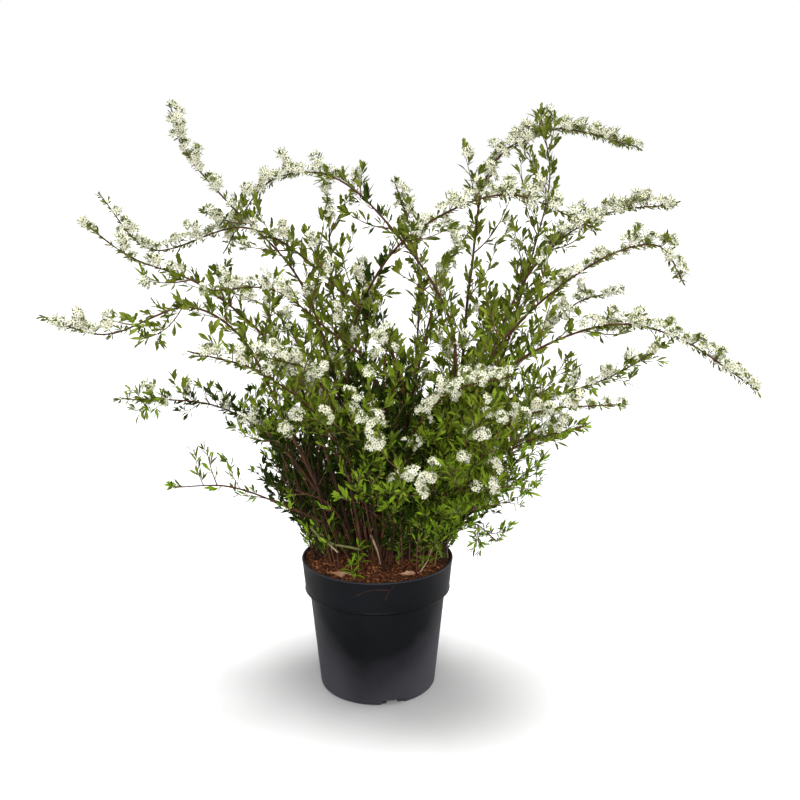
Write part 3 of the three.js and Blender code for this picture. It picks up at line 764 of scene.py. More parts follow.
def squareTo(along, angle):
    # a way at right angles to another, turned about it
    base = up if abs(along[2]) < rule["upright"] else np.array([1.0, 0, 0])
    side = unit(np.cross(base, along))
    return side * math.cos(angle) + np.cross(along, side) * math.sin(angle)


def eitherSide(dice, lift):
    # an angle to the left or the right of a shoot, lifted by so much over the level
    return lift if dice.random() < 0.5 else math.pi - lift


def wayFrom(along, angle, mixture):
    out, on, rise = mixture
    return unit(squareTo(along, angle) * out + along * on + up * rise)


def spiral(i):
    # growths stand round their stem by one steady turn after another
    return math.radians(rule["turn"] * i)


plans = planShoots()
print("shoots planned, attempts", [plan["attempt"] for plan in plans])


# The coir on the soil: the rings of its skin, its heap and lumps, and the chips and fibres on it.
mulch = {
    "seed": 8, "edge": 133.5, "rings": 60, "around": 160, "footRadius": 100, "footHeight": 20, "heap": 8,
    "lumpHeight": 5.5, "lumpScale": 0.03, "lumps": (0.8, 2.2, 5), "slice": 1.7,
    "chips": 900, "chipShape": (0.22, 1.0, 0.1), "chipReach": 131, "chipLength": (4, 12),
    "chipSlope": (-0.25, 0.35), "chipLift": (0, 1.5),
    "fibres": 2700, "fibreReach": 126, "fibreGirth": (0.3, 0.75), "fibreLength": (8, 26),
    "fibreBend": (-1.2, 1.2), "fibreLift": 0.6, "fibreArch": 2.2, "fibreSticks": 4,
}


def soilHeight(x, y):
    # height of the soil's skin over a spot, in mm
    fallen = np.clip((math.hypot(x, y) - soil["crownRadius"]) / soil["fall"], 0, 1)
    spot = Vector((x * mulch["lumpScale"], y * mulch["lumpScale"], mulch["slice"]))
    lumps = mulch["lumpHeight"] * noise.fractal(spot, *mulch["lumps"])
    return mix(soil["top"], soil["edgeTop"], fallen) + mulch["heap"] + lumps


# Everything that grows is gathered as lines and points, and made when all of it is there.
lines = {kind: [] for kind in ("bough", "stem", "cane", "twig", "fine")}
points = {kind: [] for kind in (*leafGreens, "floret", "stalk", "heart")}


def addLine(kind, spots, girths):
    lines[kind].append((np.asarray(spots), np.asarray(girths)))


# Leaves change between two heights. A pair holds the value below the first and the one above the
# second.
leaf = {"low": 330, "high": 700, "toothed": (0.12, 0.72), "tip": 0.8}
# How the other greens follow each other upwards.
greenSteps = {"foot": 250, "span": 700, "scatter": (-0.22, 0.22), "steepness": 4.2}
# Where the leaves are painted dark as shade: how far out from the axis at a few heights, and in some
# pockets.
shade = {
    "heights": (250, 400, 520, 640),
    "radii": (110, 165, 140, 30),
    "ragged": (0.7, 1.1),
    "pockets": [
        ((-150, 50, 390), (95, 95, 110)), ((170, 50, 385), (130, 105, 105)),
        ((-270, 30, 525), (130, 70, 36)),
    ],
    "deep": (0.28, 0.36),  # share of the dark leaves among the others, low down and higher up
}
# Open places low in the front, where bare stems show: middle and reach of each, and what stays.
hollow = {
    "places": [((-118, -60, 400), (85, 140, 78)), ((-40, -70, 335), (62, 95, 58))],
    "tufts": 0.12,
    "twigs": 0.2,
}


def within(spot, places):
    return any(
        sum(((a - b) / r) ** 2 for a, b, r in zip(spot, middle, reach)) < 1 for middle, reach in places
    )


def byHeight(pair, height):
    share = float(np.clip((height - leaf["low"]) / (leaf["high"] - leaf["low"]), 0, 1))
    return mix(np.array(pair[0]), np.array(pair[1]), share)


def tippedFace(way, dice):
    # a face that looks up, tipped a little to a side left to chance
    return unit(up + squareTo(way, dice.uniform(*anyTurn)) * leaf["tip"])


def greenFor(spot, dice):
    # the inside and the pockets get the painted-shade green, the foot is freshest and the top greyest
    inside = np.interp(spot[2], shade["heights"], shade["radii"]) * dice.uniform(*shade["ragged"])
    if math.hypot(spot[0], spot[1]) < inside or within(spot, shade["pockets"]):
        return "leafPaintedShade"
    if dice.random() < shade["deep"][0 if spot[2] < leaf["low"] else 1]:
        return "leafDeep"
    share = (spot[2] - greenSteps["foot"]) / greenSteps["span"] + dice.uniform(*greenSteps["scatter"])
    return list(leafGreens)[2 + int(np.clip(share * greenSteps["steepness"], 0, 3))]


def addLeaf(spot, way, size, dice):
    way = unit(way)
    face = tippedFace(way, dice)
    toothed = dice.random() < byHeight(leaf["toothed"], spot[2])
    form = dice.randint(*(toothedForms if toothed else plainForms))
    green = greenFor(spot, dice)
    points[green].append((spot, way, face, size, shadedForm if green == "leafPaintedShade" else form))


tuft = {
    "leaves": (5, 8),
    "length": ((12, 24), (18, 30)),
    "small": (12, 21),  # length of the leaves close to flowers
    "grown": (0.75, 1.05),  # how long the lowest and the highest leaf grow
    "reach": ((3, 12), (7, 20)),
    "bare": 0.15,
    "girths": (0.8, 0.5),
    "spread": (0.8, 0.25),
    "scatter": (0.7, 1.2),
    "lift": 0.3,
}


def addTuft(root, along, angle, count, dice, sizes=None, reach=None):
    # a short side shoot with an upright fan of leaves
    if within(root, hollow["places"]) and dice.random() > hollow["tufts"]:
        return
    way = wayFrom(along, angle, tuftWay)
    reach = reach or dice.uniform(*byHeight(tuft["reach"], root[2]))
    sizes = sizes or byHeight(tuft["length"], root[2])
    tip = root + way * reach
    addLine("fine", [root, tip], tuft["girths"])
    for i in range(count):
        share = i / max(1, count - 1)
        spot = mix(root, tip, mix(tuft["bare"], 1, share))
        spread = mix(*tuft["spread"], share) * dice.uniform(*tuft["scatter"])
        leafWay = way + squareTo(way, spiral(i) + angle) * spread + up * tuft["lift"]
        addLeaf(spot, leafWay, dice.uniform(*sizes) * mix(*tuft["grown"], share), dice)


umbel = {
    "reach": (6, 15),
    "girths": (0.8, 0.6),
    "bracts": (2, 4),  # leaves under the umbel, their length, slope and place on its stalk
    "bractLength": (8, 14),
    "bractSlope": (-0.1, 0.6),
    "bractPlace": (0, 0.6),
    "florets": (11, 14),
    "radius": (3.9, 4.8),
    "tilt": 0.35,
    "dome": 0.8,  # 1 is half a ball
    "pedicel": (6.5, 9.5),
    "longer": (0.9, 1.2),  # at the top and at the side of the dome
    "fullness": (0.8, 1.1),
    "heart": 0.95,
}


def addUmbel(root, along, angle, dice, reach=None):
    # a dome of florets on a short leafy shoot
    way = wayFrom(along, angle, headWay)
    reach = reach or dice.uniform(*umbel["reach"])
    node = root + way * reach
    addLine("fine", [root, node], umbel["girths"])
    for i in range(dice.randint(*umbel["bracts"])):
        leafWay = squareTo(way, spiral(i) + angle * 3) + way * dice.uniform(*umbel["bractSlope"])
        spot = mix(root, node, dice.uniform(*umbel["bractPlace"]))
        addLeaf(spot, leafWay, dice.uniform(*umbel["bractLength"]), dice)
    count = dice.randint(*umbel["florets"])
    fullness = dice.uniform(*umbel["fullness"])
    # the stalks and calyxes between the florets make a heart, coloured dark as painted shade between them
    points["heart"].append((node, way, squareTo(way, 0), umbel["pedicel"][0] * fullness * umbel["heart"]))
    for i in range(count):
        polar = math.acos(1 - (i + 0.5) / count * umbel["dome"])
        floretWay = way * math.cos(polar) + squareTo(way, spiral(i)) * math.sin(polar)
        length = dice.uniform(*umbel["pedicel"]) * mix(*umbel["longer"], math.sin(polar)) * fullness
        size = dice.uniform(*umbel["radius"])
        face = squareTo(floretWay, dice.uniform(*anyTurn))
        tilted = unit(floretWay + squareTo(floretWay, dice.uniform(*anyTurn)) * umbel["tilt"])
        points["floret"].append((node + floretWay * length, tilted, face, size))
        points["stalk"].append((node, floretWay, face, length))


twig = {
    "longest": 105, "shortest": 34, "perStem": 0.4, "sizes": (0.7, 1.15),
    "girth": 1.5,
    # thick twigs take the old bark that is darkened as painted shade
    "caneGirth": 1.55,  # above it a twig counts as a cane with old bark
    "sticks": {"short": 3, "long": 6},
    "shortBelow": 40,
    "taper": 0.45,
    "rise": (0.1, 0.25),
    "bend": 0.06,
    "tuftGap": (8, 14),
    "tuftReach": (2, 9),
    "fewer": 3,  # leaves of a tuft below the tip
    "branchGap": (26, 60),
    "branchWay": (1, 0.8, 0.25),
    "branchLength": (0.42, 0.2),
    "branchScatter": (0.8, 1.2),
    "branchGirth": 0.6,
    "branchStart": 0.7,  # in branches
    "branchEnd": 0.9,
    "umbels": (1, 3),
    "umbelTurn": (-1, 1),
    "umbelReach": (6, 12),
}


def addTwig(root, way, length, dice, thick, blooms=False, bare=0.0):
    # a twig that curves upwards and carries tufts of leaves, and finer twigs where it is long
    if within(root, hollow["places"]) and dice.random() > hollow["twigs"]:
        return
    rise = up * length * dice.uniform(*twig["rise"])
    aside = squareTo(way, dice.uniform(*anyTurn)) * length * twig["bend"]
    sticks = twig["sticks"]["short" if length < twig["shortBelow"] else "long"]
    shares = np.linspace(0, 1, sticks + 1)
    spots = [root + way * length * s + rise * s * s + aside * math.sin(3 * s) for s in shares]
    addLine("cane" if thick > twig["caneGirth"] else "twig", spots, thick * mix(1, twig["taper"], shares))

    def on(share):
        k = min(int(share * sticks), sticks - 1)
        return mix(spots[k], spots[k + 1], share * sticks - k), unit(spots[k + 1] - spots[k])

    count = max(2, round(length * (1 - bare) / byHeight(twig["tuftGap"], root[2])))
    for i in range(1, count + 1):
        spot, along = on(mix(bare, 1, i / count))
        leaves = dice.randint(*tuft["leaves"]) - (0 if i == count else twig["fewer"])
        addTuft(spot, along, spiral(i), leaves, dice, reach=dice.uniform(*twig["tuftReach"]))
    gap = byHeight(twig["branchGap"], root[2])
    branches = int(length * (1 - bare) / gap) if length > 2 * gap else 0
    for i in range(branches):
        share = mix(bare, twig["branchEnd"], (i + twig["branchStart"]) / branches)
        spot, along = on(share)
        finer = length * mix(*twig["branchLength"], share) * dice.uniform(*twig["branchScatter"])
        branchWay = wayFrom(along, spiral(i) + 1, twig["branchWay"])
        addTwig(spot, branchWay, finer, dice, thick * twig["branchGirth"])
    if blooms:
        along = unit(spots[-1] - spots[-2])
        for i in range(dice.randint(*twig["umbels"])):
            turn = dice.uniform(*twig["umbelTurn"])
            addUmbel(spots[-1 - i], along, turn, dice, dice.uniform(*twig["umbelReach"]))


spur = {
    "length": (12, 30), "rise": 0.2, "sag": 1.5, "girths": (0.95, 0.8, 0.6),
    "tuftGap": 9, "tuftPlace": (0.1, 0.9), "leaves": (2, 4), "tuftReach": 3,
    "umbelGap": 18, "umbelStep": 0.4, "umbelTurn": (-0.9, 0.9), "umbelReach": (4, 9),
}


def addSpur(root, way, length, dice):
    # a flowering side shoot: leaves below, one to three umbels towards its tip
    tip = root + way * length + up * length * spur["rise"]
    addLine("twig", [root, mix(root, tip, 0.5) - up * spur["sag"], tip], spur["girths"])
    along = unit(tip - root)
    for i in range(round(length / spur["tuftGap"])):
        spot = mix(root, tip, dice.uniform(*spur["tuftPlace"]))
        count = dice.randint(*spur["leaves"])
        addTuft(spot, along, spiral(i), count, dice, tuft["small"], spur["tuftReach"])
    for i in range(1 + round(length / spur["umbelGap"])):
        turn = dice.uniform(*spur["umbelTurn"])
        addUmbel(mix(tip, root, i * spur["umbelStep"]), along, turn, dice, dice.uniform(*spur["umbelReach"]))


bark = {
    "slimming": (0.95, 0.75),  # finer than the solids, most of all at the tip
    "boughStep": 4, "stemStep": 8, "boughSpots": 4, "stemSpots": 6, "overlap": 4,
}
# What stands on the leafy part of a shoot, between the twigs of the rule.
leafyPart = {
    "innerAbove": 440,
    "innerBloom": (0.45, 0.05),  # share of the twigs in the crown that end in flowers
    "bloomBefore": 0.1,
    "start": 14,
    "tuftGap": (8, 20),
    "gapScatter": (0.75, 1.25),
    "twigEvery": ((470, 2), (620, 3), (math.inf, 5)),  # below each height, one growth in so many
    "fineTwig": (30, 78),
    "fineGirth": 1.0,
    "pastEnd": 18,
    "front": {"above": 430, "below": 680, "before": -20, "bloom": 0.4},  # where fine twigs flower
}
# What stands on the flowering part, its garland.
garland = {
    "gap": 15,
    "gapScatter": (0.6, 1.35),
    "umbels": 0.8,
    "headLift": (-0.8, 1.2),
    "tufts": ((-1.35, 0.95), (-0.6, 0.6), (1.1, 0.3)),  # radians over the level, and chance
    "tuftScatter": (-0.5, 0.5),
    "leaves": (3, 5),
    "leafLength": (9, 16),
    "tuftReach": 4,
    "spurEvery": 4,
    "spurLift": (0.2, 1.2),
    "spurWay": (1, 0.9, 0.4),
    "spurEnd": 60,
    "leafyBelow": 0.55,  # a garland that blooms less than this also bears leafy side twigs
    "bareBelow": 0.3,  # and below this twice as many
    "poorLeaf": (13, 22),
    "sideTurn": (-2.2, 2.2),
    "sideWay": (1, 0.9, 0.1),
    "sideLength": (26, 60),
    "sideTaper": (1.2, 0.6),
    "sideGirth": 0.9,
    "sideEnd": 30,
    "lastLeaves": 7,  # of a shoot that doesn't flower
    "lastReach": 6,
}


def growBark(plan, on):
    length, bare = plan["path"].length, plan["bare"]

    def girths(shares):
        return woodRadius(length, shares) * mix(*bark["slimming"], shares)

    if bare:
        spots = max(bark["boughSpots"], int(bare * length / bark["boughStep"]))
        shares = np.linspace(0, bare, spots)
        addLine("bough", on(shares)[0], girths(shares))
    first = max(0, bare - bark["overlap"] / length) if bare else 0
    spots = max(bark["stemSpots"], int((1 - plan["start"]) * length / bark["stemStep"]))
    shares = np.linspace(first, 1, spots)
    addLine("stem", on(shares)[0], girths(shares) * stem["slimming"])


def growRuleTwigs(plan, on, lowest, dice):
    # the twigs that the solids have too
    path, length, bloom = plan["path"], plan["path"].length, plan["bloom"]
    rich, leafy, twiggy = plan["richness"]
    for i in range(0, int((bloom - lowest) * length // rule["nodeGap"]) + 1, 2):
        if dice.random() > leafy:
            continue
        share = lowest + i * rule["nodeGap"] / length
        root, _ = on(share)
        draw = seededDraw(plan["seed"] * seeds["perTwig"] + i)
        left = (1 - share) * length
        reach = min(twig["longest"], twig["shortest"] + left * twig["perStem"]) * mix(*twig["sizes"], draw())
        way = turnedBy(wayFrom(path.ways(share), spiral(i), twigWay), plan["heading"])
        blooms = share > bloom - leafyPart["bloomBefore"] and bloom < 1 and rich > garland["leafyBelow"]
        high = root[2] > leafyPart["innerAbove"]
        inner = high and dice.random() < byHeight(leafyPart["innerBloom"], root[2])
        addTwig(root, way, reach * twiggy, dice, twig["girth"], blooms or inner)


def growBetween(plan, on, lowest, dice):
    # finer twigs and tufts between them
    length, end = plan["path"].length, plan["bloom"] * plan["path"].length
    _, leafy, twiggy = plan["richness"]
    front = leafyPart["front"]
    place, i = lowest * length - leafyPart["start"], 0
    while place < end:
        root, along = on(place / length)
        every = next(every for below, every in leafyPart["twigEvery"] if root[2] < below)
        if i % every == 1:
            finer = min(dice.uniform(*leafyPart["fineTwig"]), end - place + leafyPart["pastEnd"])
            inFront = front["above"] < root[2] < front["below"] and root[1] < front["before"]
            blooms = inFront and dice.random() < front["bloom"]
            way = wayFrom(along, spiral(i), twigWay)
            addTwig(root, way, finer * twiggy, dice, leafyPart["fineGirth"], blooms)
        else:
            addTuft(root, along, spiral(i), dice.randint(*tuft["leaves"]), dice)
        place += byHeight(leafyPart["tuftGap"], root[2]) * dice.uniform(*leafyPart["gapScatter"]) / leafy
        i += 1


def growGarland(plan, on, dice):
    # flower heads, or a last fan of leaves
    length, rich = plan["path"].length, plan["richness"][0]
    poor = rich < garland["leafyBelow"]
    place, i = plan["bloom"] * length, 0
    while place < length:
        root, along = on(place / length)
        if dice.random() < rich * garland["umbels"]:
            addUmbel(root, along, eitherSide(dice, dice.uniform(*garland["headLift"])), dice)
        # small leaves below the flowers, and a few at their sides
        for lift, chance in garland["tufts"]:
            if dice.random() < chance:
                sizes = garland["poorLeaf" if poor else "leafLength"]
                angle = eitherSide(dice, lift + dice.uniform(*garland["tuftScatter"]))
                leaves = dice.randint(*garland["leaves"])
                addTuft(root, along, angle, leaves, dice, sizes, garland["tuftReach"])
        if i % garland["spurEvery"] == 2 and place < length - garland["spurEnd"]:
            side = wayFrom(along, eitherSide(dice, dice.uniform(*garland["spurLift"])), garland["spurWay"])
            addSpur(root, side, dice.uniform(*spur["length"]), dice)
        if poor and (i % 2 == 1 or rich < garland["bareBelow"]) and place < length - garland["sideEnd"]:
            side = wayFrom(along, dice.uniform(*garland["sideTurn"]), garland["sideWay"])
            reach = dice.uniform(*garland["sideLength"]) * mix(*garland["sideTaper"], place / length)
            addTwig(root, side, reach, dice, garland["sideGirth"])
        place += garland["gap"] / max(1, rich) * dice.uniform(*garland["gapScatter"])
        i += 1
    if plan["bloom"] == 1:
        addTuft(*on(1.0), 0, garland["lastLeaves"], dice, reach=garland["lastReach"])


def growShoot(plan):
    path, dice = plan["path"], random.Random(plan["seed"])

    def on(shares):
        return turnedBy(path.points(shares), plan["heading"]), turnedBy(path.ways(shares), plan["heading"])

    bareStem = stem["bareAfterBough" if plan["bare"] else "bareAfterSoil"]
    lowest = plan["start"] + bareStem / path.length
    growBark(plan, on)
    growRuleTwigs(plan, on, lowest, dice)
    growBetween(plan, on, lowest, dice)
    growGarland(plan, on, dice)


# Flower heads in the crown, each on a twig of its own: the spot and its umbels.
heads = [
    ((4, -235, 526), 5), ((94, -235, 484), 2), ((84, -236, 468), 2), ((71, -232, 448), 3),
    ((142, -235, 498), 2), ((170, -220, 450), 1), ((170, -235, 534), 2), ((201, -225, 562), 3),
    ((241, -205, 560), 4), ((290, -165, 560), 4), ((312, -150, 538), 3), ((-81, -232, 570), 3),
    ((-120, -195, 562), 2), ((-148, -165, 530), 3), ((-64, 232, 512), 3), ((40, 240, 470), 2),
    ((96, 236, 540), 4), ((186, 190, 494), 3), ((262, 90, 500), 3), ((-160, 190, 540), 4),
    ((-120, 200, 468), 2), ((-222, 70, 470), 2), ((214, 150, 556), 3),
]
headTwig = {
    "girths": (1.0, 0.9, 0.6), "seed": 31, "sag": 6, "drop": 30, "steep": 1.5, "tufts": 4, "leaves": 3,
    "tuftReach": 4, "umbelReach": 8, "aside": 2.7, "lean": 0.81, "down": 2,
}


def growHeads():
    dice = random.Random(headTwig["seed"])
    limbs = np.vstack([spots for kind in ("stem", "twig") for spots, _ in lines[kind]])
    for spot, umbels in heads:
        spot = np.array(spot, dtype=float)
        # the twig starts at the nearest limb, but not from above
        above = np.maximum(0, limbs[:, 2] - spot[2] + headTwig["drop"])
        root = limbs[(np.linalg.norm(limbs - spot, axis=1) + headTwig["steep"] * above).argmin()]
        middle = mix(root, spot, 0.5) - up * headTwig["sag"]
        addLine("twig", [root, middle, spot], headTwig["girths"])
        along = unit(spot - middle)
        for i in range(headTwig["tufts"]):
            place = mix(middle, spot, i / headTwig["tufts"])
            addTuft(place, along, spiral(i), headTwig["leaves"], dice, tuft["small"], headTwig["tuftReach"])
        for i in range(umbels):
            side = squareTo(along, spiral(i)) * (1 if i else 0)
            place = spot + side * headTwig["aside"] - up * i * headTwig["down"]
            way, turn = unit(along + side * headTwig["lean"]), dice.uniform(*twig["umbelTurn"])
            addUmbel(place, way, turn, dice, headTwig["umbelReach"])


# Young leafy shoots straight from the soil. Where the soil shows, they stand nearer to its middle.
basal = {
    "seed": 4, "count": 56, "near": 14, "far": 112, "crowding": 0.6, "buried": 6,
    "height": (70, 230), "shorter": (1.1, 0.75), "lean": (0.15, 0.8), "bare": (0.35, 0.12),
    "girth": (0.9, 1.5), "fullHeight": 250, "openTurn": 262, "openWidth": 50, "openFar": 50,
}


def levelWay(turn):
    return np.array([math.cos(turn), math.sin(turn), 0])


def growBasalShoots():
    dice = random.Random(basal["seed"])
    for i in range(basal["count"]):
        degrees = rule["turn"] * i % 360
        outward = levelWay(math.radians(degrees))
        far = basal["openFar" if abs(degrees - basal["openTurn"]) < basal["openWidth"] else "far"]
        out = mix(basal["near"], far, ((i + 0.5) / basal["count"]) ** basal["crowding"])
        root = outward * out + up * (soil["top"] - basal["buried"])
        share = out / basal["far"]
        height = dice.uniform(*basal["height"]) * mix(*basal["shorter"], share)
        way = unit(outward * dice.uniform(*basal["lean"]) + up)
        girth = mix(*basal["girth"], height / basal["fullHeight"])
        addTwig(root, way, height, dice, girth, bare=mix(*basal["bare"], share))


# Clumps of young canes: where they stand, how many and how far apart, how they lean, their height,
# thickness and bare share.
canes = [
    ((20, -82), 4, 9, (-0.13, 0), (200, 300), 1.9, 0.6),
    ((-108, -20), 5, 9, (-0.1, 0), (90, 170), 1.6, 0.25),
    ((-80, -24), 4, 30, (-0.2, 0), (200, 290), 1.7, 0.75),
    ((-60, 66), 9, 46, (-0.2, 0.3), (110, 260), 1.6, 0.02),
    ((20, 80), 8, 50, (0.05, 0.3), (120, 260), 1.5, 0.02),
    ((121, -32), 3, 8, (0.02, 0), (200, 280), 2.4, 0.5),
    ((-72, -62), 3, 14, (-0.25, 0), (90, 130), 1.1, 0.45),
    ((70, -66), 5, 26, (0.15, -0.1), (90, 190), 1.3, 0.3),
    ((-96, 24), 8, 20, (-0.45, 0), (90, 210), 1.2, 0.1),
    ((-86, 62), 9, 26, (-0.5, 0.3), (150, 300), 1.2, 0.1),
    ((104, 0), 8, 18, (0.5, 0), (90, 220), 1.2, 0.15),
    ((96, 48), 9, 24, (0.6, 0.3), (150, 300), 1.2, 0.1),
]
caneClump = {"seed": 12, "splay": (0.03, 0.2), "buried": 6}


def growCanes():
    dice = random.Random(caneClump["seed"])
    for (x, y), count, spread, lean, heights, thick, bare in canes:
        for i in range(count):
            side = levelWay(spiral(i))
            root = np.array([x, y, soil["top"] - caneClump["buried"]])
            root = root + side * spread * ((i + 0.5) / count) ** 0.5
            way = unit(np.array([*lean, 0]) + side * dice.uniform(*caneClump["splay"]) + up)
            addTwig(root, way, dice.uniform(*heights), dice, thick, bare=bare)


# Seedlings in the soil: where they stand, how high they are and how far they lean out.
seedlings = [
    ((-32, -84), 54, 0), ((-38, -121), 34, 14), ((80, -70), 26, 6), ((40, -58), 48, 0),
    ((104, -52), 44, 6), ((-100, 20), 50, 0), ((30, 96), 40, 4), ((92, 74), 52, 3),
]
seedling = {
    "seed": 21, "buried": 2, "bend": 0.2, "girths": (0.9, 0.8, 0.6), "leafGap": 4, "leaves": 4, "from": 0.3,
    "slope": (0, 0.8), "perLean": 0.025, "leafLength": (16, 29), "forms": (2, 3),
}


def growSeedlings():
    dice = random.Random(seedling["seed"])
    for (x, y), height, lean in seedlings:
        outward = unit(np.array([x, y, 0.0]))
        root = np.array([x, y, soilHeight(x, y) - seedling["buried"]])
        tip = root + up * height + outward * lean
        middle = mix(root, tip, 0.5) + outward * lean * seedling["bend"]
        addLine("fine", [root, middle, tip], seedling["girths"])
        for i in range(round(height / seedling["leafGap"]) + seedling["leaves"]):
            spot = mix(root, tip, dice.uniform(seedling["from"], 1))
            way = squareTo(up, spiral(i)) + up * dice.uniform(*seedling["slope"])
            way = unit(way + outward * lean * seedling["perLean"])
            size, form = dice.uniform(*seedling["leafLength"]), dice.randint(*seedling["forms"])
            points["leafFresh"].append((spot, way, up, size, form))


for plan in plans:
    growShoot(plan)
growBasalShoots()
growCanes()
growSeedlings()
growHeads()
print("grown:", {kind: len(rows) for kind, rows in points.items()})


# The limbs: the lines they follow, their finish and slot, what they stand for, and their sizes.
stemSizes = {"Sides": 8, "Relief": 0.0006, "Lumps": 0.0009}
limbPieces = {
    "boughBark": ("bough", "oldShadedBark", "bark", boughNodes, {"Sides": 12, "Relief": 0.0011, "Lumps": 0.0016}),
    "youngCanes": ("cane", "oldShadedBark", "bark", sprayNodes, stemSizes),
    "sprayStems": ("stem", "stemBark", "bark", sprayNodes, stemSizes),
    "sprayTwigs": ("twig", "twigBark", "bark", sprayNodes, {"Sides": 4}),
    "leafShoots": ("fine", "flowerStalk", "foliage", sprayNodes, {"Sides": 3, "Capped": False}),
}
# What stands on points in the umbels: which points, finish, tree, and sizes in parts of the point's own.
eyeSizes = {"Sides": 5, "Foot": 0.3, "Top": 0.0, "Depth": 0.24, "Lift": 0.16}
heartSizes = {"Sides": 7, "Foot": 0.1, "Top": 0.85, "Depth": 0.9}
umbelPieces = {
    "petals": ("floret", "petal", floretTree(), {}),
    "flowerEyes": ("floret", "flowerEye", knobTree("NONE"), eyeSizes),
    "flowerStalks": ("stalk", "flowerStalk", knobTree("NONE"), {"Foot": 0.035, "Top": 0.07}),
    "shadedUmbelHearts": ("heart", "shadedUmbelHeart", knobTree("TRIANGLE_FAN"), heartSizes),
}


def makePlant():
    for name, (kind, finish, slot, nodes, sizes) in limbPieces.items():
        worn(grown(linesOf(name, lines[kind]), limbGrower, finishes[finish], **sizes), slot, *nodes)
    for green in leafGreens:
        leaves = grown(pointsOf(green, points[green]), leafGrower, finishes[green])
        worn(leaves, "foliage", *sprayNodes)
    for name, (kind, finish, tree, sizes) in umbelPieces.items():
        piece = grown(pointsOf(name, points[kind]), tree, finishes[finish], **sizes)
        worn(piece, "foliage", *sprayNodes)


makePlant()
print("plant made")


pot = {
    "height": 250, "rimRadius": 140, "collarRadius": 134, "collarHeight": 60, "collarStep": 6,
    "bodyRadius": 126, "baseRadius": 108, "baseCorner": 7, "wall": 2.4, "floor": 3, "around": 144,
    "baseRing": 60, "cornerSteps": 5,
    "bodyRings": (0.15, 0.3, 0.45, 0.6, 0.75, 0.9, 1),
    "underStep": (3, 1.2),  # out from the body and up
    "step": [(-1.6, -1.6), (1.3, 0.4), (1.1, 1.2), (0.2, 2.2)],  # out from the collar and up
    "collarRings": (0.25, 0.5, 0.75, 0.93),
    "lip": [(0.2, -2.2), (-0.4, -0.5), (-1.8, 0), (-3.6, -0.3), (-4.8, -2)],  # out from the rim and up
    "sharpFrom": 40,
}
# Holes round the foot: a wide notch and a deep slot at each, both a little narrower upwards.
drain = {"count": 3, "firstAngle": 286.3, "height": 10, "cuts": [(46, 20), (22, 52)], "narrowing": 0.9}


def ring(radius, height, count):
    # spots round the axis, or the one spot on it
    turns = [i * 2 * math.pi / count for i in range(count if radius else 1)]
    return [(radius * math.cos(turn), radius * math.sin(turn), height) for turn in turns]


def skinned(name, rings, finish):
    # a closed skin over rings of spots, from pole to pole
    mesh = bmesh.new()
    rings = [[mesh.verts.new([part * mm for part in spot]) for spot in spots] for spots in rings]
    for low, high in zip(rings, rings[1:]):
        count = max(len(low), len(high))
        for i in range(count):
            j = (i + 1) % count
            corners = [low[i % len(low)], low[j % len(low)], high[j % len(high)], high[i % len(high)]]
            mesh.faces.new(list(dict.fromkeys(corners)))
    bmesh.ops.recalc_face_normals(mesh, faces=mesh.faces)
    data = bpy.data.meshes.new(name)
    mesh.to_mesh(data)
    mesh.free()
    data.materials.append(finish)
    data.shade_smooth()
    return linked(name, data)


def potProfile():
    # up the outside, over the lip and down the inside
    base, body, collar, rim = (pot[part + "Radius"] for part in ("base", "body", "collar", "rim"))
    height, corner, wall, floor = (pot[part] for part in ("height", "baseCorner", "wall", "floor"))
    foot = height - pot["collarHeight"]
    rise = foot - pot["collarStep"]
    line = [(0, 0), (pot["baseRing"], 0), (base - corner, 0)]
    for i in range(pot["cornerSteps"]):
        turn = (i + 1) / pot["cornerSteps"] * math.pi / 2
        line.append((base - corner * (1 - math.sin(turn)), corner * (1 - math.cos(turn))))
    line += [(mix(base, body, share), mix(corner, rise, share)) for share in pot["bodyRings"]]
    line.append((body + pot["underStep"][0], rise + pot["underStep"][1]))
    line += [(collar + out, foot + lift) for out, lift in pot["step"]]
    line += [(mix(collar, rim, share), mix(foot, height, share)) for share in pot["collarRings"]]
    line += [(rim + out, height + lift) for out, lift in pot["lip"]]
    line += [(collar - wall, foot + pot["collarStep"]), (body - wall, rise)]
    return line + [(base - wall, corner + floor), (base - wall - corner, floor), (0, floor)]


def drainCutter():
    mesh = bmesh.new()
    for i in range(drain["count"]):
        turn = math.radians(drain["firstAngle"] + i * 360 / drain["count"])
        outward, across = levelWay(turn), levelWay(turn + math.pi / 2)
        for width, depth in drain["cuts"]:
            for vert in bmesh.ops.create_cube(mesh, size=1)["verts"]:
                x, y, z = vert.co
                wide = width * (1 if z < 0 else drain["narrowing"])
                spot = outward * (pot["baseRadius"] + x * depth) + across * y * wide
                vert.co = (spot + up * z * 2 * drain["height"]) * mm
    data = bpy.data.meshes.new("drainCutter")
    mesh.to_mesh(data)
    mesh.free()
    return linked("drainCutter", data)


def makePot():
    rings = [ring(radius, height, pot["around"]) for radius, height in potProfile()]
    piece = skinned("nurseryPot", rings, finishes["potPlastic"])
    cutter = drainCutter()
    cut = piece.modifiers.new("drains", "BOOLEAN")
    cut.object = cutter
    cut.operation = "DIFFERENCE"
    cut.solver = "EXACT"
    cut.use_self = True
    mesh = evaluated(piece)
    piece.modifiers.clear()
    piece.data = mesh
    bpy.data.objects.remove(cutter)
    mesh.shade_smooth()
    mesh.set_sharp_from_angle(angle=math.radians(pot["sharpFrom"]))
    worn(piece, "pot", "pot")


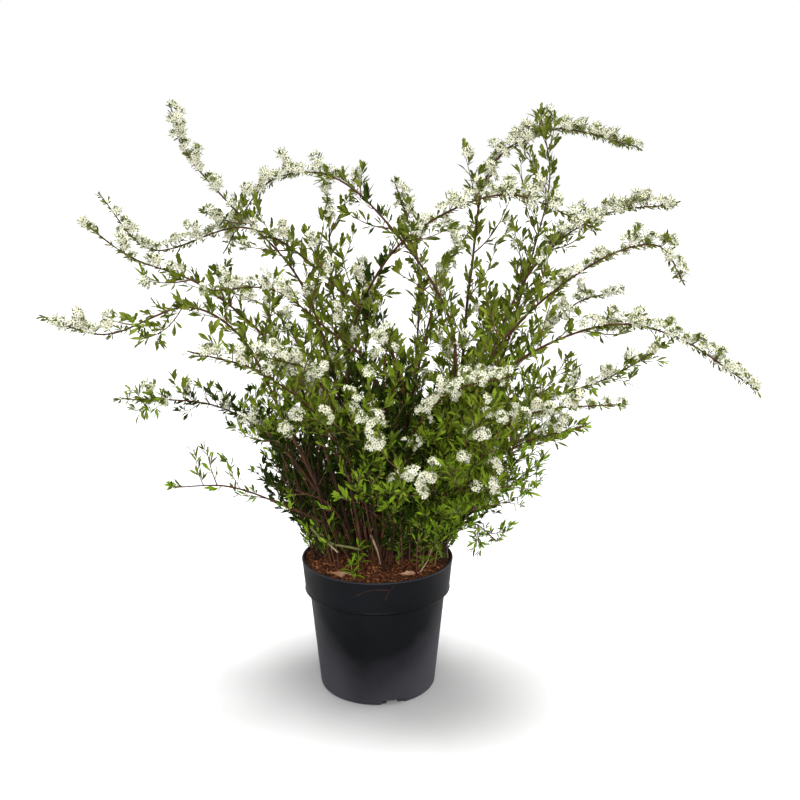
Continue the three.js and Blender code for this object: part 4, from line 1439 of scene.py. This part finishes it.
def makeSoil():
    count = mulch["around"]
    rings = []
    for k in range(mulch["rings"] + 1):
        spots = ring(mulch["edge"] * k / mulch["rings"], 0, count)
        rings.append([(x, y, soilHeight(x, y)) for x, y, _ in spots])
    # the underside closes the lump inside the pot
    rings += [ring(mulch["footRadius"], mulch["footHeight"], count), ring(0, pot["floor"] + 1, count)]
    worn(skinned("soilLump", rings, finishes["coirSoil"]), "soil", "soil")


def spotWithin(reach, dice):
    radius, turn = reach * math.sqrt(dice.random()), dice.uniform(0, 2 * math.pi)
    return radius * math.cos(turn), radius * math.sin(turn)


def fibre(dice):
    # a hair of coir that arches over the soil, up to the edge of the pot
    x, y = spotWithin(mulch["fibreReach"], dice)
    bend, run = dice.uniform(*mulch["fibreBend"]), dice.uniform(*anyTurn)
    sticks = mulch["fibreSticks"]
    step = dice.uniform(*mulch["fibreLength"]) / sticks
    spots = []
    for k in range(sticks + 1):
        arch = mulch["fibreArch"] * math.sin(k / sticks * math.pi) * dice.random()
        spots.append((x, y, soilHeight(x, y) + mulch["fibreLift"] + arch))
        x += step * math.cos(run)
        y += step * math.sin(run)
        run += bend / sticks
        if math.hypot(x, y) > mulch["chipReach"]:
            break
    return np.array(spots)


def makeMulch():
    dice = random.Random(mulch["seed"])
    chips = []
    for _ in range(mulch["chips"]):
        x, y = spotWithin(mulch["chipReach"], dice)
        spot = (x, y, soilHeight(x, y) + dice.uniform(*mulch["chipLift"]))
        way = [dice.uniform(-1, 1), dice.uniform(-1, 1), dice.uniform(*mulch["chipSlope"])]
        way = unit(np.array(way))
        chips.append((spot, way, tippedFace(way, dice), dice.uniform(*mulch["chipLength"])))
    tree = Grower("scatterChips", Scale=1.0, Chip=mulch["chipShape"])
    tree.scatter(tree.add("GeometryNodeMeshCube", Size=tree.given("Chip")), smooth=False)
    worn(grown(pointsOf("barkChips", chips), tree, finishes["coirFibre"]), "soil", "soil")
    fibres = []
    for _ in range(mulch["fibres"]):
        spots = fibre(dice)
        if len(spots) > 2:
            fibres.append((spots, np.full(len(spots), dice.uniform(*mulch["fibreGirth"]))))
    coir = grown(linesOf("coirFibres", fibres), limbGrower, finishes["coirFibre"], Sides=3, Capped=False)
    worn(coir, "soil", "soil")


# Litter on the soil: the girth of each bit and the spots it runs through.
litter = {
    "straw": [
        (2.1, [(10, -62, 249), (2, -64, 280), (-10, -66, 312)]),
        (1.8, [(122, -22, 248), (103, -45, 294)]),
        (1.4, [(-88, -82, 305), (-68, -90, 288)]),
        (1.1, [(78, -92, 252), (92, -62, 262), (102, -34, 280)]),
    ],
    "greenCane": [
        (2.3, [(130, -10, 248), (122, -26, 292), (116, -40, 331)]),
        (2.1, [(-117, -66, 326), (-99, -78, 309), (-73, -84, 300), (-50, -86, 297), (-29, -86, 292)]),
    ],
}
litterSides = 7
# Hairs of root that have dried on to the collar: angle about the axis and height.
dryRoots = [
    [(253, 221), (258, 228), (264, 235), (270, 238), (280, 236)],
    [(283.5, 245), (282, 240), (280, 236), (278, 226), (277, 217)],
]
dryRoot = {"girth": 0.45, "proud": 0.4, "sides": 5}
# Dead leaves on the soil: where, which way, how long and which form.
deadLeaves = [
    ((-84, -92), (1, -0.32, -0.02), 52, 1),
    ((40, -112), (1, 0.1, 0.05), 30, 0),
    ((84, 60), (0.3, 1, 0.02), 34, 2),
]
deadLeaf = {"lift": 8, "faceTilt": (0.1, -1, 0.2)}


def makeLitter():
    for kind, bits in litter.items():
        rows = [(np.array(spots, dtype=float), np.full(len(spots), girth)) for girth, spots in bits]
        piece = grown(linesOf(kind + "Litter", rows), limbGrower, finishes[kind], Sides=litterSides)
        worn(piece, "soil", "soil")


def makeDryRoots():
    foot = pot["height"] - pot["collarHeight"]
    rows = []
    for hair in dryRoots:
        turns, heights = np.array(hair).T
        out = mix(pot["collarRadius"], pot["rimRadius"], (heights - foot) / pot["collarHeight"])
        out = out + dryRoot["proud"]
        turns = np.radians(turns)
        spots = np.column_stack([out * np.cos(turns), out * np.sin(turns), heights])
        rows.append((spots, np.full(len(hair), dryRoot["girth"])))
    hairs = grown(linesOf("dryRoot", rows), limbGrower, finishes["stemBark"], Sides=dryRoot["sides"])
    worn(hairs, "soil", "soil")


def makeDeadLeaves():
    face = up + unit(np.array(deadLeaf["faceTilt"]))
    rows = []
    for (x, y), way, size, form in deadLeaves:
        spot = (x, y, soilHeight(x, y) + deadLeaf["lift"])
        rows.append((spot, unit(np.array(way, dtype=float)), face, size, form))
    worn(grown(pointsOf("deadLeafLitter", rows), leafGrower, finishes["deadLeaf"]), "soil", "soil")


makePot()
print("pot made")
makeSoil()
makeMulch()
makeLitter()
makeDryRoots()
makeDeadLeaves()
print("soil made")
